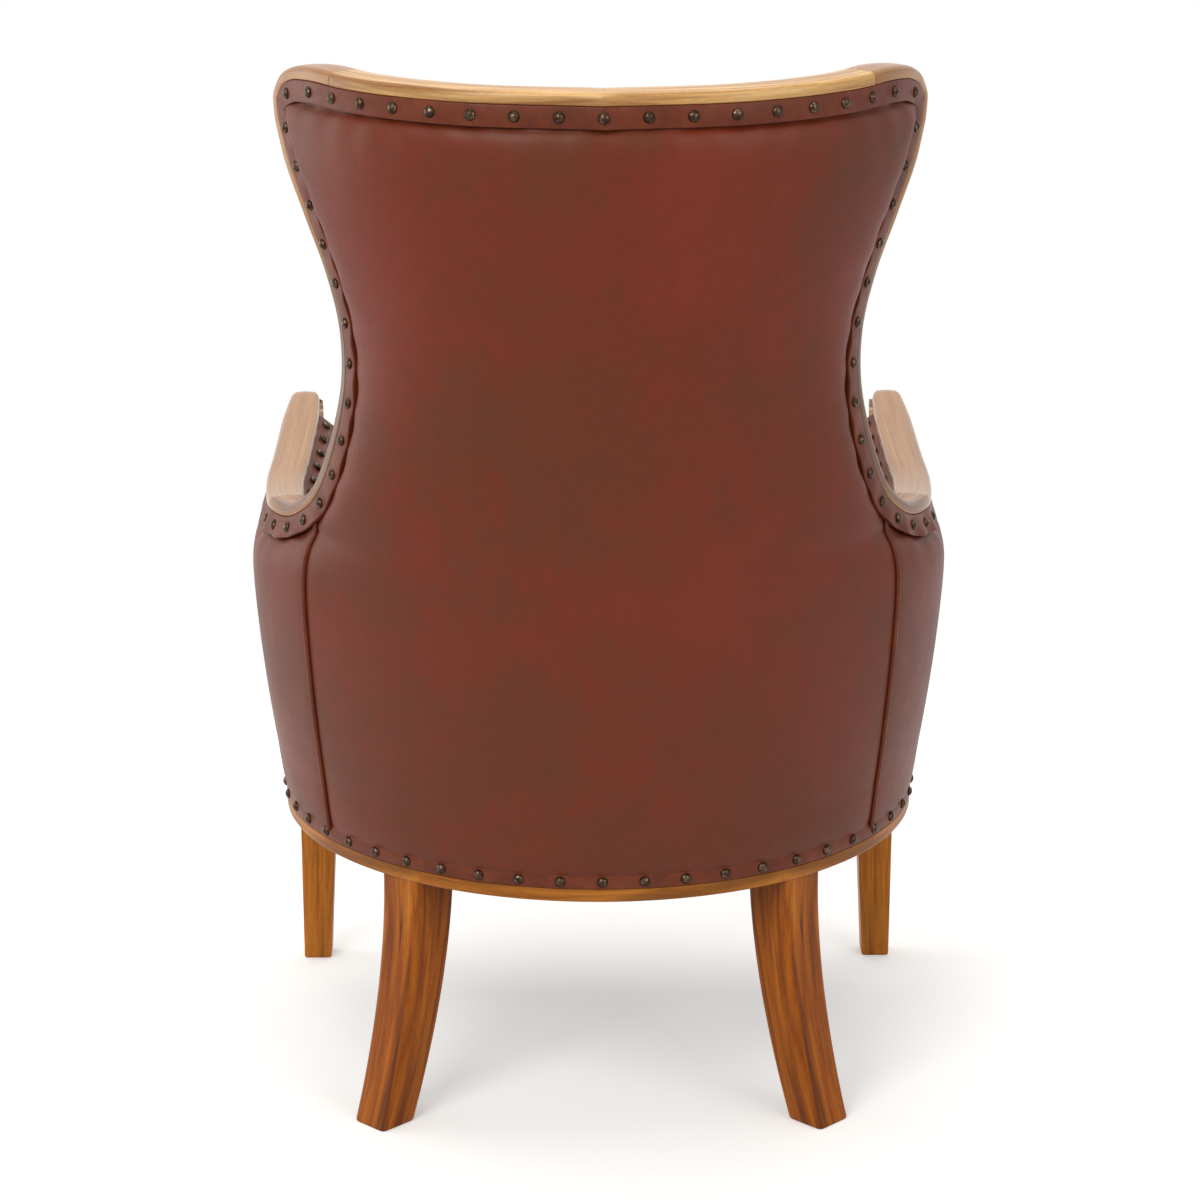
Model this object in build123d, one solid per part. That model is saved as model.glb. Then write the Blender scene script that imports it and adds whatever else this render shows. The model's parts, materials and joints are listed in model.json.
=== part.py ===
from build123d import *
import math
import os

# Millimetres. The chair faces -Y, +Z is up and +X is the sitter's left.
# The origin is on the floor under the middle of the chair.

# Seat frame: a half round at the back, straight sides, a front rail between the front legs
rail_bottom = 244.0
rail_height = 70.0
rail_thick = 42.0
rail_radius = 316.0
rail_show = 13.0
frame_front = 184.0
front_rail_thick = 30.0

# Back and arms: one line of show wood runs along the crest, down the stiles and out along the arms
crest_top = 1012.0
crest_radius = 304.0
back_lean = 103.0
arm_top = 591.0
arm_rise = 21.0
arm_radius = 322.0
arm_nose = 200.0
waist_dip = 48.0
waist_share = 0.855
wall_step = 32.0
cap_wide = 37.0
cap_show = 12.0
frame_deep = 44.0
crest_joint_angle = 52.0
# The stile's outer edge from the ear down to the arm: angle round the back, share of the height
stile_line = [(75.6, 1.0), (71.5, 0.9), (66.5, 0.76), (64.5, 0.62), (61.0, 0.48), (57.0, 0.355),
              (54.6, 0.255), (54.8, 0.17), (57.5, 0.082), (65.0, 0.024), (71.0, 0.007), (77.0, 0.0)]
# The ear's rounded top: angle round the back, drop below the crest's top
ear_line = [(crest_joint_angle, 0.0), (60.0, -1.0), (67.0, 4.0), (72.0, 13.0), (stile_line[0][0], 28.0)]

# Legs
rear_leg_x = 172.0
rear_leg_top = 46.0
rear_leg_foot = 37.0
rear_leg_splay = 35.0
rear_leg_sweep = 1.8
front_leg_top = 42.0
front_leg_foot = 29.0

# Hidden timbers
post_angle = 56.0
post_wide = 40.0
stuffing_rail_height = 30.0
stuffing_rail_lift = 31.0
stuffing_rail_inset = 12.0
corner_block_leg = 62.0
corner_block_height = 40.0
dowel_radius = 5.0
dowel_length = 50.0
dowel_spacing = 22.0
dowel_clearance = 0.1
screw_radius = 2.2
screw_head_radius = 4.5
screw_head_height = 2.5
screw_length = 42.0

# Leather, bands, welts and nails
band_wide = 20.0
band_thick = 3.0
band_gap = 0.4
base_band_wide = 15.0
board_thick = 4.0
back_panel_pad = 7.0
back_panel_edge = 1.0
arm_panel_bulge = 19.0
arm_panel_top = 4.0
arm_panel_steps = 6
welt_radius = 2.4
seam_gap = 0.3
panel_margin = 5.0
nail_head_radius = 5.3
nail_head_height = 3.6
nail_shank_radius = 1.0
nail_length = 13.0
nail_spacing = 39.5

# Inside padding
leather_thick = 2.0
pad_gap = 1.2
pad_edge_gap = 5.0
back_pad_edge = 14.0
back_pad_angle = 48.0
# Crown of the inside back: share of its height, thickness over the frame
back_crown = [(0.0, 50.0), (0.22, 58.0), (0.41, 52.0), (0.6, 46.0), (0.74, 46.0), (0.86, 44.0),
              (0.96, 34.0), (1.0, 16.0)]
arm_pad_low = 28.0
arm_pad_mid = 36.0
arm_pad_top = 12.0

# Seat
strap_wide = 50.0
strap_thick = 2.0
strap_pitch = 92.0
deck_thick = 23.0
cushion_half = 230.0
cushion_thick = 112.0
cushion_lead = 10.0
cushion_corner = 30.0
cushion_roll = 26.0
cushion_crown = 8.0
piping_radius = 3.4
border_thick = 8.0
dust_cover_thick = 1.0
dust_cover_inset = 12.0

# Places that follow from the sizes above
rail_top = rail_bottom + rail_height
crest_bottom = crest_top - frame_deep
lean_reach = rail_radius + back_lean
waist_span = waist_share * (crest_top - arm_top)
centre_y = (arm_nose - lean_reach) / 2
front_y = centre_y - frame_front
nose_y = centre_y - arm_nose
leg_rear_y = front_y + front_leg_top
base_band_low = rail_bottom + rail_show
base_band_high = base_band_low + base_band_wide
rebate = band_thick + band_gap
band_inner = cap_wide - band_thick
frame_inner = band_inner - band_gap
strap_level = rail_top + strap_thick
deck_bottom = rail_top + 2 * strap_thick + seam_gap
deck_top = deck_bottom + deck_thick
band_foot = cap_show + band_wide
nail_line = cap_show + band_wide / 2

# The outline of a frame timber across its run: show wood on top, rebated on both sides for the bands
timber_outline = [(0, 0), (-cap_wide, 0), (-cap_wide, -cap_show), (-frame_inner, -cap_show),
                  (-frame_inner, -frame_deep), (-rebate, -frame_deep), (-rebate, -cap_show),
                  (0, -cap_show)]
band_top = cap_show + band_gap
outer_band_outline = [(0, -band_top), (-band_thick, -band_top), (-band_thick, -band_foot), (0, -band_foot)]
inner_band_outline = [(-band_inner, -band_top), (-cap_wide, -band_top), (-cap_wide, -band_foot),
                      (-band_inner, -band_foot)]


def barrel_radius(z):
    """Outside radius of the round back at height z, drawn in at the waist above the arms."""
    if z <= rail_top:
        return rail_radius
    if z <= arm_top:
        return rail_radius + (arm_radius - rail_radius) * (z - rail_top) / (arm_top - rail_top)
    rise = (z - arm_top) / (crest_top - arm_top)
    dip = math.sin(math.pi * min((z - arm_top) / waist_span, 1.0)) ** 2
    return arm_radius + (crest_radius - arm_radius) * rise - waist_dip * dip


def arc_centre(z):
    """Y of the centre of the round back at height z. The back leans from the seat frame up."""
    lean = back_lean * max(z - rail_top, 0.0) / (crest_top - rail_top)
    return centre_y + rail_radius + lean - barrel_radius(z)


def around(angle, offset, z):
    """A point on the barrel at an angle from the back's middle, offset outwards."""
    turn = math.radians(angle)
    reach = barrel_radius(z) + offset
    return Vector(reach * math.sin(turn), arc_centre(z) + reach * math.cos(turn), z)


def beside(y, offset, z):
    """A point on the straight left side of the chair."""
    return Vector(barrel_radius(z) + offset, y, z)


def wall_point(place, offset, z):
    """A point on the wall, where place is an angle round the back or a tuple with the side's Y."""
    if isinstance(place, tuple):
        return beside(place[0], offset, z)
    return around(place, offset, z)


def wall_normal(place):
    turn = math.radians(90.0 if isinstance(place, tuple) else place)
    return Vector(math.sin(turn), math.cos(turn), 0)


def wall_heading(place):
    turn = math.radians(90.0 if isinstance(place, tuple) else place)
    return Vector(math.cos(turn), -math.sin(turn), 0)


def degrees_along(length, z):
    """The angle that a length along the barrel takes up at height z."""
    return math.degrees(length / barrel_radius(z))


def closed_face(*edges):
    return make_face(edges)


def polygon_face(points):
    return make_face(Polyline(*points, close=True))


def arc_or_line(start, middle, end):
    """An arc through three points, or a line where they are in line."""
    if (middle - start).cross(end - start).length < 1e-6:
        return Line(start, end)
    return ThreePointArc(start, middle, end)


def ring_face(z, angle_a, angle_b, inner, outer):
    """A level slice of the barrel between two angles and two offsets."""
    middle = (angle_a + angle_b) / 2
    return closed_face(
        ThreePointArc(around(angle_a, outer, z), around(middle, outer, z), around(angle_b, outer, z)),
        Line(around(angle_b, outer, z), around(angle_b, inner, z)),
        ThreePointArc(around(angle_b, inner, z), around(middle, inner, z), around(angle_a, inner, z)),
        Line(around(angle_a, inner, z), around(angle_a, outer, z)))


def ring(z_low, z_high, angle_a, angle_b, inner, outer):
    """A stretch of the barrel wall between two heights."""
    return loft([ring_face(z_low, angle_a, angle_b, inner, outer),
                 ring_face(z_high, angle_a, angle_b, inner, outer)], ruled=True)


def back_slice(z, angle, back, front):
    """A level slice of back padding: each side is an arc given by its offsets at edge and middle."""
    def arc(offsets, start, end):
        edge, middle = offsets
        return ThreePointArc(around(start, edge, z), around(0, middle, z), around(end, edge, z))
    return closed_face(
        arc(back, -angle, angle),
        Line(around(angle, back[0], z), around(angle, front[0], z)),
        arc(front, angle, -angle),
        Line(around(-angle, front[0], z), around(-angle, back[0], z)))


def wall_slice(place, z_low, z_high, back, front):
    """An upright slice of wall padding: back offsets at foot and top, front offsets at foot, middle, top."""
    outward = wall_normal(place)
    foot = wall_point(place, 0, z_low)
    top = wall_point(place, 0, z_high)
    middle = (foot + top) * 0.5
    return closed_face(
        Line(top + outward * back[1], foot + outward * back[0]),
        Line(foot + outward * back[0], foot + outward * front[0]),
        arc_or_line(foot + outward * front[0], middle + outward * front[1], top + outward * front[2]),
        Line(top + outward * front[2], top + outward * back[1]))


def heights(low, high):
    """Even levels from low to high, close enough to follow the waist."""
    steps = math.ceil((high - low) / wall_step)
    return [low + (high - low) * index / steps for index in range(steps + 1)]


def stile_height(share):
    return arm_top + share * (crest_bottom - arm_top)


def edge_angle(z):
    """Angle of the stile's outer edge at a height between the arm and the ear."""
    share = (z - arm_top) / (crest_bottom - arm_top)
    for (angle_high, high), (angle_low, low) in zip(stile_line, stile_line[1:]):
        if low <= share <= high:
            return angle_low + (angle_high - angle_low) * (share - low) / (high - low)
    return stile_line[0][0]


def ear_drop(angle):
    """Drop of the ear's top below the crest's top at an angle."""
    for (angle_a, drop_a), (angle_b, drop_b) in zip(ear_line, ear_line[1:]):
        if angle_a <= angle <= angle_b:
            return drop_a + (drop_b - drop_a) * (angle - angle_a) / (angle_b - angle_a)
    return 0.0


def arm_height(y):
    """Top of the arm along its straight run, rising from the back to the nose."""
    start = arc_centre(arm_top)
    return arm_top + arm_rise * (start - y) / (start - nose_y)


def edge_planes():
    """Planes across the left stile: local X points out of the back, square to the timber's chord."""
    points = [around(angle, 0, stile_height(share)) for angle, share in stile_line]
    planes = []
    for index, (angle, share) in enumerate(stile_line):
        if index == 0:
            heading = Vector(0, 0, -1)
        elif index == len(stile_line) - 1:
            heading = wall_heading(angle)
        else:
            heading = (points[index + 1] - points[index - 1]).normalized()
        across = heading.cross(wall_normal(angle))
        level = math.hypot(across.X, across.Y)
        outward = wall_normal(angle - degrees_along(frame_deep / 2 * level, stile_height(share)))
        outward = (outward - heading * outward.dot(heading)).normalized()
        planes.append(Plane(origin=points[index], x_dir=outward, z_dir=heading))
    return planes


def arm_planes(end_y):
    """Planes across the left arm from its joint with the stile to end_y."""
    start = arc_centre(arm_top)
    joint_angle = stile_line[-1][0]
    planes = [Plane(origin=around(angle, 0, arm_top), x_dir=wall_normal(angle), z_dir=wall_heading(angle))
              for angle in (joint_angle, (joint_angle + 90) / 2, 90)]
    for step in (1 / 3, 2 / 3, 1):
        y = start + (end_y - start) * step
        planes.append(Plane(origin=Vector(arm_radius, y, arm_height(y)), x_dir=(1, 0, 0), z_dir=(0, -1, 0)))
    return planes


def along(planes, outline):
    """A timber or band with one outline carried through the planes."""
    return loft([plane * polygon_face(outline) for plane in planes])


def mirrored(shape):
    return mirror(shape, about=Plane.YZ)


def largest(shape):
    return max(shape.solids(), key=lambda solid: solid.volume)


def u_face(radius, end_y):
    """The plan of the seat frame: a half round with straight sides to end_y."""
    side = radius
    return closed_face(
        Line((side, end_y), (side, centre_y)),
        ThreePointArc((side, centre_y), (side * math.sqrt(0.5), centre_y + side * math.sqrt(0.5)),
                      (0, centre_y + side)),
        ThreePointArc((0, centre_y + side), (-side * math.sqrt(0.5), centre_y + side * math.sqrt(0.5)),
                      (-side, centre_y)),
        Line((-side, centre_y), (-side, end_y)),
        Line((-side, end_y), (side, end_y)))


def u_slab(radius, end_y, z_low, z_high):
    return extrude(Pos(0, 0, z_low) * u_face(radius, end_y), amount=z_high - z_low)


def box_between(x_low, x_high, y_low, y_high, z_low, z_high):
    centre = Pos((x_low + x_high) / 2, (y_low + y_high) / 2, (z_low + z_high) / 2)
    return centre * Box(x_high - x_low, y_high - y_low, z_high - z_low)


def crest_rail():
    """The level top rail between the two ears."""
    angle = crest_joint_angle
    step = crest_top - cap_show
    return (ring(crest_bottom, step, -angle, angle, -frame_inner, -rebate)
            + ring(step, crest_top, -angle, angle, -cap_wide, 0))


def ear():
    """The left end of the crest line, rounded down towards the stile."""
    inner = band_inner - seam_gap
    outer = band_thick + seam_gap
    faces = []
    for angle, drop in ear_line:
        outward = wall_normal(angle)
        top = around(angle, 0, crest_top - drop)
        foot = around(angle, 0, crest_bottom)
        show = top + (foot - top) * (cap_show / (top.Z - foot.Z))
        faces.append(polygon_face([
            top, top - outward * cap_wide, show - outward * cap_wide, show - outward * inner,
            foot - outward * inner, foot - outward * outer, show - outward * outer, show]))
    return loft(faces)


def left_stile():
    """The left ear and stile, as one timber down to its joint with the arm."""
    return ear() + along(edge_planes(), timber_outline)


def left_arm():
    """The left arm, from the stile to its nose ahead of the front leg."""
    return along(arm_planes(nose_y), timber_outline)


def front_leg_slice(z, x_in, x_out, y_front, y_rear):
    return polygon_face([(x_in, y_front, z), (x_out, y_front, z), (x_out, y_rear, z), (x_in, y_rear, z)])


def left_front_leg(arm):
    """The left front leg with the post that carries the arm, in one piece."""
    outer = rail_radius
    inner = outer - front_leg_top
    post_top = arm_height(front_y)
    slices = [
        front_leg_slice(0, outer - front_leg_foot, outer, front_y, front_y + front_leg_foot),
        front_leg_slice(rail_bottom, inner, outer, front_y, leg_rear_y),
        front_leg_slice(rail_top, inner, outer, front_y, leg_rear_y),
        front_leg_slice(post_top, arm_radius - frame_inner, arm_radius - band_thick, front_y, leg_rear_y)]
    return Part() + largest(loft(slices, ruled=True) - arm)


def diamond(x, y, z, side):
    """A square turned by 45 degrees."""
    reach = side * math.sqrt(0.5)
    return polygon_face([(x + reach, y, z), (x, y + reach, z), (x - reach, y, z), (x, y - reach, z)])


def rear_leg_centre():
    """Plan centre of the left rear leg's head: its rear corner lies on the seat frame's face."""
    corner = centre_y + math.sqrt(rail_radius ** 2 - rear_leg_x ** 2)
    return rear_leg_x, corner - rear_leg_top * math.sqrt(0.5)


def rear_leg_head():
    x, y = rear_leg_centre()
    return extrude(diamond(x, y, rail_bottom, rear_leg_top), amount=rail_height)


def left_rear_leg():
    """The left sabre leg: it sweeps back and out, and its head stands in the seat frame."""
    x, y = rear_leg_centre()
    slices = []
    for share in (0, 0.25, 0.5, 0.75, 1.0):
        shift = rear_leg_splay * share ** rear_leg_sweep
        side = rear_leg_top + (rear_leg_foot - rear_leg_top) * share
        slices.append(diamond(x + shift, y + shift, rail_bottom * (1 - share), side))
    sabre = loft(slices)
    low_head = rear_leg_head() & u_slab(rail_radius, leg_rear_y, rail_bottom, base_band_low)
    high_head = rear_leg_head() & u_slab(rail_radius - band_thick, leg_rear_y, base_band_low, rail_top)
    return sabre + low_head + high_head


def seat_rails():
    """The rear, left and right rails of the seat frame, cut where the rear legs stand between them."""
    low = u_slab(rail_radius, leg_rear_y, rail_bottom, base_band_low)
    high = u_slab(rail_radius - band_thick, leg_rear_y, base_band_low, rail_top)
    frame = low + high - u_slab(rail_radius - rail_thick, leg_rear_y, rail_bottom, rail_top)
    head = rear_leg_head()
    pieces = sorted((frame - head - mirrored(head)).solids(), key=lambda solid: solid.center().X)
    return {"right_seat_rail": pieces[0], "rear_seat_rail": pieces[1], "left_seat_rail": pieces[-1]}


def front_rail():
    half = rail_radius - front_leg_top
    rear = front_y + front_rail_thick
    return (box_between(-half, half, front_y, rear, rail_bottom, base_band_low)
            + box_between(-half, half, front_y + band_thick, rear, base_band_low, rail_top))


def left_back_post(stile, inner_band):
    """The upright behind the left panel seam, from the seat frame to the stile."""
    half = degrees_along(post_wide / 2, rail_top)
    top = stile_height(stile_line[-4][1])
    face = -band_thick - board_thick - seam_gap
    post = ring(rail_top, top, post_angle - half, post_angle + half, -frame_inner + leather_thick, face)
    return Part() + min((post - stile - inner_band).solids(), key=lambda solid: solid.center().Z)


def stuffing_band():
    low = rail_top + stuffing_rail_lift
    return low, low + stuffing_rail_height


def lumbar_rail(left_post):
    """The lower rail inside the back, between the back posts."""
    low, high = stuffing_band()
    rail = ring(low, high, -post_angle, post_angle, -frame_inner, -stuffing_rail_inset)
    return Part() + largest(rail - left_post - mirrored(left_post))


def left_stuffing_rail():
    """The lower rail inside the left arm, from the back post to the front post."""
    low, high = stuffing_band()
    start = post_angle + degrees_along(post_wide / 2, rail_top)
    back = (-frame_inner, -frame_inner)
    front = (-stuffing_rail_inset, -stuffing_rail_inset, -stuffing_rail_inset)
    start_y = max(arc_centre(low), arc_centre(high))
    turn = ring(low, high, start, 90, -frame_inner, -stuffing_rail_inset)
    straight = loft([wall_slice((y,), low, high, back, front) for y in (start_y, leg_rear_y)])
    return turn + straight


def left_corner_block():
    """A glued block across the corner of the front rail and the left rail."""
    x = rail_radius - rail_thick
    y = front_y + front_rail_thick
    low = rail_bottom + (rail_height - corner_block_height) / 2
    corner = polygon_face([(x, y, low), (x, leg_rear_y, low), (x, leg_rear_y + corner_block_leg, low),
                           (x - corner_block_leg, y, low)])
    return extrude(corner, amount=corner_block_height)


def screw(tip, heading):
    """A wood screw whose head lies against the face that it goes through."""
    shank = Pos(0, 0, -screw_length / 2) * Cylinder(screw_radius, screw_length)
    head = Pos(0, 0, screw_head_height / 2) * Cylinder(screw_head_radius, screw_head_height)
    return Plane(origin=tip, z_dir=heading) * (shank + head)


def block_screws():
    """Two screws in each corner block: one into the front rail, one into the side rail."""
    x = rail_radius - rail_thick
    y = front_y + front_rail_thick
    slope_y = (leg_rear_y - y + corner_block_leg) / corner_block_leg
    level = rail_bottom + rail_height / 2
    third = corner_block_leg / 3
    heading = Vector(-slope_y, 1, 0)
    screws = []
    for step in (1.2, 1.8):
        spot = Vector(x - corner_block_leg + third * step, y + slope_y * third * step, level)
        screws.append(screw(spot, heading))
    return screws + [mirrored(piece) for piece in screws]


def outside_back():
    """The leather of the outside back over its wadding, between the bands and the two welts."""
    low = base_band_high + seam_gap
    top = crest_top - band_foot - seam_gap
    back = (-back_panel_edge, seam_gap - band_thick)
    slices = []
    for z in heights(low, top):
        middle = back_panel_edge if z in (low, top) else back_panel_pad
        slices.append(back_slice(z, panel_angle(z), back, (back_panel_edge, middle)))
    return loft(slices, ruled=True)


def panel_angle(z):
    """Half angle of the outside back: to the welts below the arms, to the stile bands above them."""
    bend_low = arm_top - band_foot
    bend_high = stile_height(stile_line[-5][1])
    welt_side = post_angle - degrees_along(welt_radius + seam_gap, arm_top)
    if z <= bend_low:
        return welt_side
    if z >= bend_high:
        return edge_angle(z) - degrees_along(band_foot + panel_margin, z)
    band_side = edge_angle(bend_high) - degrees_along(band_foot + panel_margin, bend_high)
    share = math.sqrt((z - bend_low) / (bend_high - bend_low))
    return welt_side + (band_side - welt_side) * share


def outside_back_board():
    """Thin bent board between the back posts that backs the leather."""
    levels = heights(rail_top, crest_bottom)
    angle = min(edge_angle(z) - degrees_along(frame_deep + panel_margin, z) for z in levels if z > arm_top)
    inner = -band_thick - board_thick
    return loft([ring_face(z, -angle, angle, inner, -band_thick) for z in levels], ruled=True)


def left_outside_arm():
    """The leather of the left outside arm over its wadding, from the welt to the front post."""
    start = post_angle + degrees_along(welt_radius + seam_gap, arm_top)
    back = (pad_gap - band_thick, 3 * pad_gap - band_thick)
    low = base_band_high + seam_gap
    slices = []
    for step in range(arm_panel_steps + 1):
        angle = start + (90 - start) * step / arm_panel_steps
        high = arm_top - band_foot - pad_gap
        slices.append(wall_slice(angle, low, high, back, (0, arm_panel_bulge, arm_panel_top)))
    for y in ((centre_y + leg_rear_y) / 2, leg_rear_y + seam_gap):
        high = arm_height(y) - band_foot - pad_gap
        slices.append(wall_slice((y,), low, high, back, (0, arm_panel_bulge, arm_panel_top)))
    return loft(slices, ruled=True)


def left_welt():
    """The covered cord in the seam between the outside back and the left outside arm."""
    low = around(post_angle, 0, base_band_high + seam_gap)
    high = around(post_angle, arm_panel_top, arm_top - band_foot - seam_gap)
    middle = (low + high) * 0.5 + wall_normal(post_angle) * (arm_panel_bulge - back_panel_pad)
    path = ThreePointArc(low, middle, high)
    return sweep(Plane(origin=low, z_dir=path % 0) * Circle(welt_radius), path=path)


def crest_band(inner, outer):
    """The nailed band along the crest, tapered where it passes under the ears."""
    top = crest_top - cap_show
    low = crest_top - band_foot
    tip = band_end_angle()
    bend = ear_line[1][0]
    end_top = top - ear_drop(tip) - seam_gap
    band = ring(low, top, -bend, bend, inner, outer)
    taper = loft([
        polygon_face([around(angle, outer, low), around(angle, outer, high),
                      around(angle, inner, high), around(angle, inner, low)])
        for angle, high in ((bend, top), (ear_line[2][0], top - ear_line[2][1] - seam_gap), (tip, end_top))])
    return band + taper + mirrored(taper)


def band_end_angle():
    """The angle at which the crest band meets the stile band."""
    return stile_line[0][0] - degrees_along(band_foot + seam_gap, crest_bottom)


def left_band(outline, end_y):
    """The nailed band down the left stile and along the arm."""
    inner = min(point[0] for point in outline)
    outer = max(point[0] for point in outline)
    start = stile_line[0][0] - degrees_along(band_foot, crest_bottom)
    end = stile_line[0][0] - degrees_along(cap_show, crest_bottom)
    head_top = crest_top - cap_show - ear_drop(end) - seam_gap
    head = ring(crest_bottom, head_top, start, end, inner, outer)
    arm_run = along(arm_planes(nose_y), outline)
    ahead = box_between(0, arm_radius + cap_wide, nose_y - cap_wide, end_y, 0, crest_top)
    return head + along(edge_planes(), outline) + (arm_run - ahead)


def base_band():
    """The nailed band round the seat frame, from front leg to front leg."""
    band = u_slab(rail_radius, leg_rear_y, base_band_low, base_band_high)
    return band - u_slab(rail_radius - band_thick, leg_rear_y, base_band_low, base_band_high)


def front_base_band():
    half = rail_radius - front_leg_top
    return box_between(-half, half, front_y, front_y + band_thick, base_band_low, base_band_high)


def front_border():
    """The padded leather on the front rail, below the seat cushion."""
    half = rail_radius - front_leg_top - seam_gap
    face = front_y + band_thick
    low = base_band_high + seam_gap
    box = box_between(-half, half, face - border_thick, face, low, deck_top)
    edges = box.faces().sort_by(Axis.Y)[0].edges()
    return fillet(edges, radius=border_thick / 3)


def back_pad(back_gap, front_share):
    """Inside back padding: foam from the frame, or the leather over it."""
    low = deck_top + leather_thick
    top = crest_top - band_foot - seam_gap
    slices = []
    for z in heights(low, top):
        crown = crown_at((z - low) / (top - low))
        edge = edge_angle(z) - math.degrees((frame_deep + panel_margin) / (barrel_radius(z) - cap_wide))
        angle = min(back_pad_angle, edge) if z <= stile_height(stile_line[-6][1]) else edge
        edge_thick = min(back_pad_edge, crown / 2)
        back = (-frame_inner - back_gap(edge_thick, pad_edge_gap), -frame_inner - back_gap(crown, pad_gap))
        front = (-frame_inner - front_share(edge_thick), -frame_inner - front_share(crown))
        slices.append(back_slice(z, angle, back, front))
    return loft(slices, ruled=True)


def crown_at(share):
    """Thickness of the inside back at a share of its height."""
    for (low, thick_low), (high, thick_high) in zip(back_crown, back_crown[1:]):
        if share <= high:
            return thick_low + (thick_high - thick_low) * (share - low) / (high - low)
    return back_crown[-1][1]


def inside_back_foam():
    return back_pad(lambda crown, gap: gap, lambda crown: crown - leather_thick - seam_gap)


def inside_back_leather():
    return back_pad(lambda crown, gap: crown - leather_thick, lambda crown: crown)


def arm_pad(back_of, front_of):
    """Inside padding of the left arm, between the inside back and the front post."""
    start = back_pad_angle + degrees_along(2 * leather_thick, arm_top)
    low = deck_top + leather_thick
    post_clear = front_leg_top - frame_inner + seam_gap
    slices = []
    thick = (arm_pad_low, arm_pad_mid, arm_pad_top)
    end_y = front_y + border_thick
    for place in (start, (start + 90) / 2, 90, ((centre_y + end_y) / 2,), (end_y,)):
        straight = isinstance(place, tuple)
        high = (arm_height(place[0]) if straight else arm_top) - band_foot - leather_thick
        set_in = post_clear if straight or place == 90 else seam_gap
        back, front = back_of(thick, set_in), front_of(thick)
        slices.append(wall_slice(place, low, high, back, front))
    return loft(slices, ruled=True)


def left_arm_foam():
    def back_of(thick, set_in):
        return -frame_inner - set_in, -frame_inner - 2 * pad_gap

    def front_of(thick):
        return tuple(-frame_inner - depth + leather_thick + seam_gap for depth in thick)
    return arm_pad(back_of, front_of)


def left_arm_leather():
    start = back_pad_angle + degrees_along(2 * leather_thick, arm_top)
    low = deck_top + leather_thick
    end_y = front_y + border_thick
    faces = []
    for place in (start, (start + 90) / 2, 90, ((centre_y + end_y) / 2,), (end_y,)):
        high = (arm_height(place[0]) if isinstance(place, tuple) else arm_top) - band_foot - leather_thick
        outward = wall_normal(place)
        foot, top = wall_point(place, 0, low), wall_point(place, 0, high)
        middle = (foot + top) * 0.5

        def curve(extra):
            return [foot - outward * (frame_inner + arm_pad_low + extra),
                    middle - outward * (frame_inner + arm_pad_mid + extra),
                    top - outward * (frame_inner + arm_pad_top + extra)]
        skin, under = curve(0), curve(-leather_thick)
        faces.append(closed_face(
            ThreePointArc(*under), Line(under[2], skin[2]),
            ThreePointArc(skin[2], skin[1], skin[0]), Line(skin[0], under[0])))
    return loft(faces, ruled=True)


def seat_straps():
    """Webbing across the seat frame: straps from front to back, and straps from side to side over them."""
    seat_in = rail_thick - strap_thick * 2
    reach = rail_radius - seat_in
    count = int(reach / strap_pitch)
    front = front_y + strap_thick * 2
    long_straps, cross_straps = [], []
    for index in range(-count + 1, count):
        x = index * strap_pitch
        rear = centre_y + math.sqrt(reach ** 2 - (abs(x) + strap_wide / 2) ** 2)
        long_straps.append(box_between(x - strap_wide / 2, x + strap_wide / 2, front, rear,
                                       rail_top, strap_level))
    y = leg_rear_y + strap_wide
    while y + strap_wide / 2 < centre_y + reach * 0.75:
        ahead = max(y + strap_wide / 2 - centre_y, 0.0)
        half = math.sqrt(reach ** 2 - ahead ** 2)
        cross_straps.append(box_between(-half, half, y - strap_wide / 2, y + strap_wide / 2,
                                        strap_level, strap_level + strap_thick))
        y += strap_pitch
    return long_straps, cross_straps


def seat_deck():
    """Firm pad on the webbing, covered in cloth, that the cushion lies on."""
    inner = rail_radius - frame_inner - seam_gap
    slab = u_slab(inner, front_y + band_thick + seam_gap, deck_bottom, deck_top)
    post = rail_radius - front_leg_top - seam_gap
    notch = box_between(post, inner + 1, front_y, leg_rear_y + seam_gap, deck_bottom, deck_top)
    return slab - notch - mirrored(notch)


def cushion_outline(z, inset):
    """Plan of the seat cushion: half round at the back, straight sides, rounded front corners."""
    side = cushion_half - inset
    front = front_y - cushion_lead + inset
    corner = cushion_corner
    middle = centre_y - cushion_lead
    bend = corner * (1 - math.sqrt(0.5))
    rear_bend = side * math.sqrt(0.5)
    half = [
        Line((side, middle, z), (side, front + corner, z)),
        ThreePointArc((side, front + corner, z), (side - bend, front + bend, z), (side - corner, front, z)),
        Line((side - corner, front, z), (-side + corner, front, z)),
        ThreePointArc((-side + corner, front, z), (-side + bend, front + bend, z), (-side, front + corner, z)),
        Line((-side, front + corner, z), (-side, middle, z)),
        ThreePointArc((-side, middle, z), (-rear_bend, middle + rear_bend, z), (0, middle + side, z)),
        ThreePointArc((0, middle + side, z), (rear_bend, middle + rear_bend, z), (side, middle, z))]
    return half


def cushion_solid(shrink):
    """The cushion's crowned block, its edges rolled in at top and bottom, shrunk all round."""
    low = deck_top + seam_gap + shrink
    high = low + cushion_thick - 2 * shrink - cushion_crown
    roll = cushion_roll
    levels = [(low, roll * 0.55), (low + roll * 0.4, roll * 0.12), (low + roll, 0.0), (high - roll, 0.0),
              (high - roll * 0.4, roll * 0.12), (high, roll * 0.55), (high + cushion_crown * 0.6, roll * 2.4),
              (high + cushion_crown, roll * 4.6)]
    return loft([closed_face(*cushion_outline(z, inset + shrink)) for z, inset in levels], ruled=True)


def cushion_cover():
    return cushion_solid(0) - cushion_solid(leather_thick)


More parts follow.
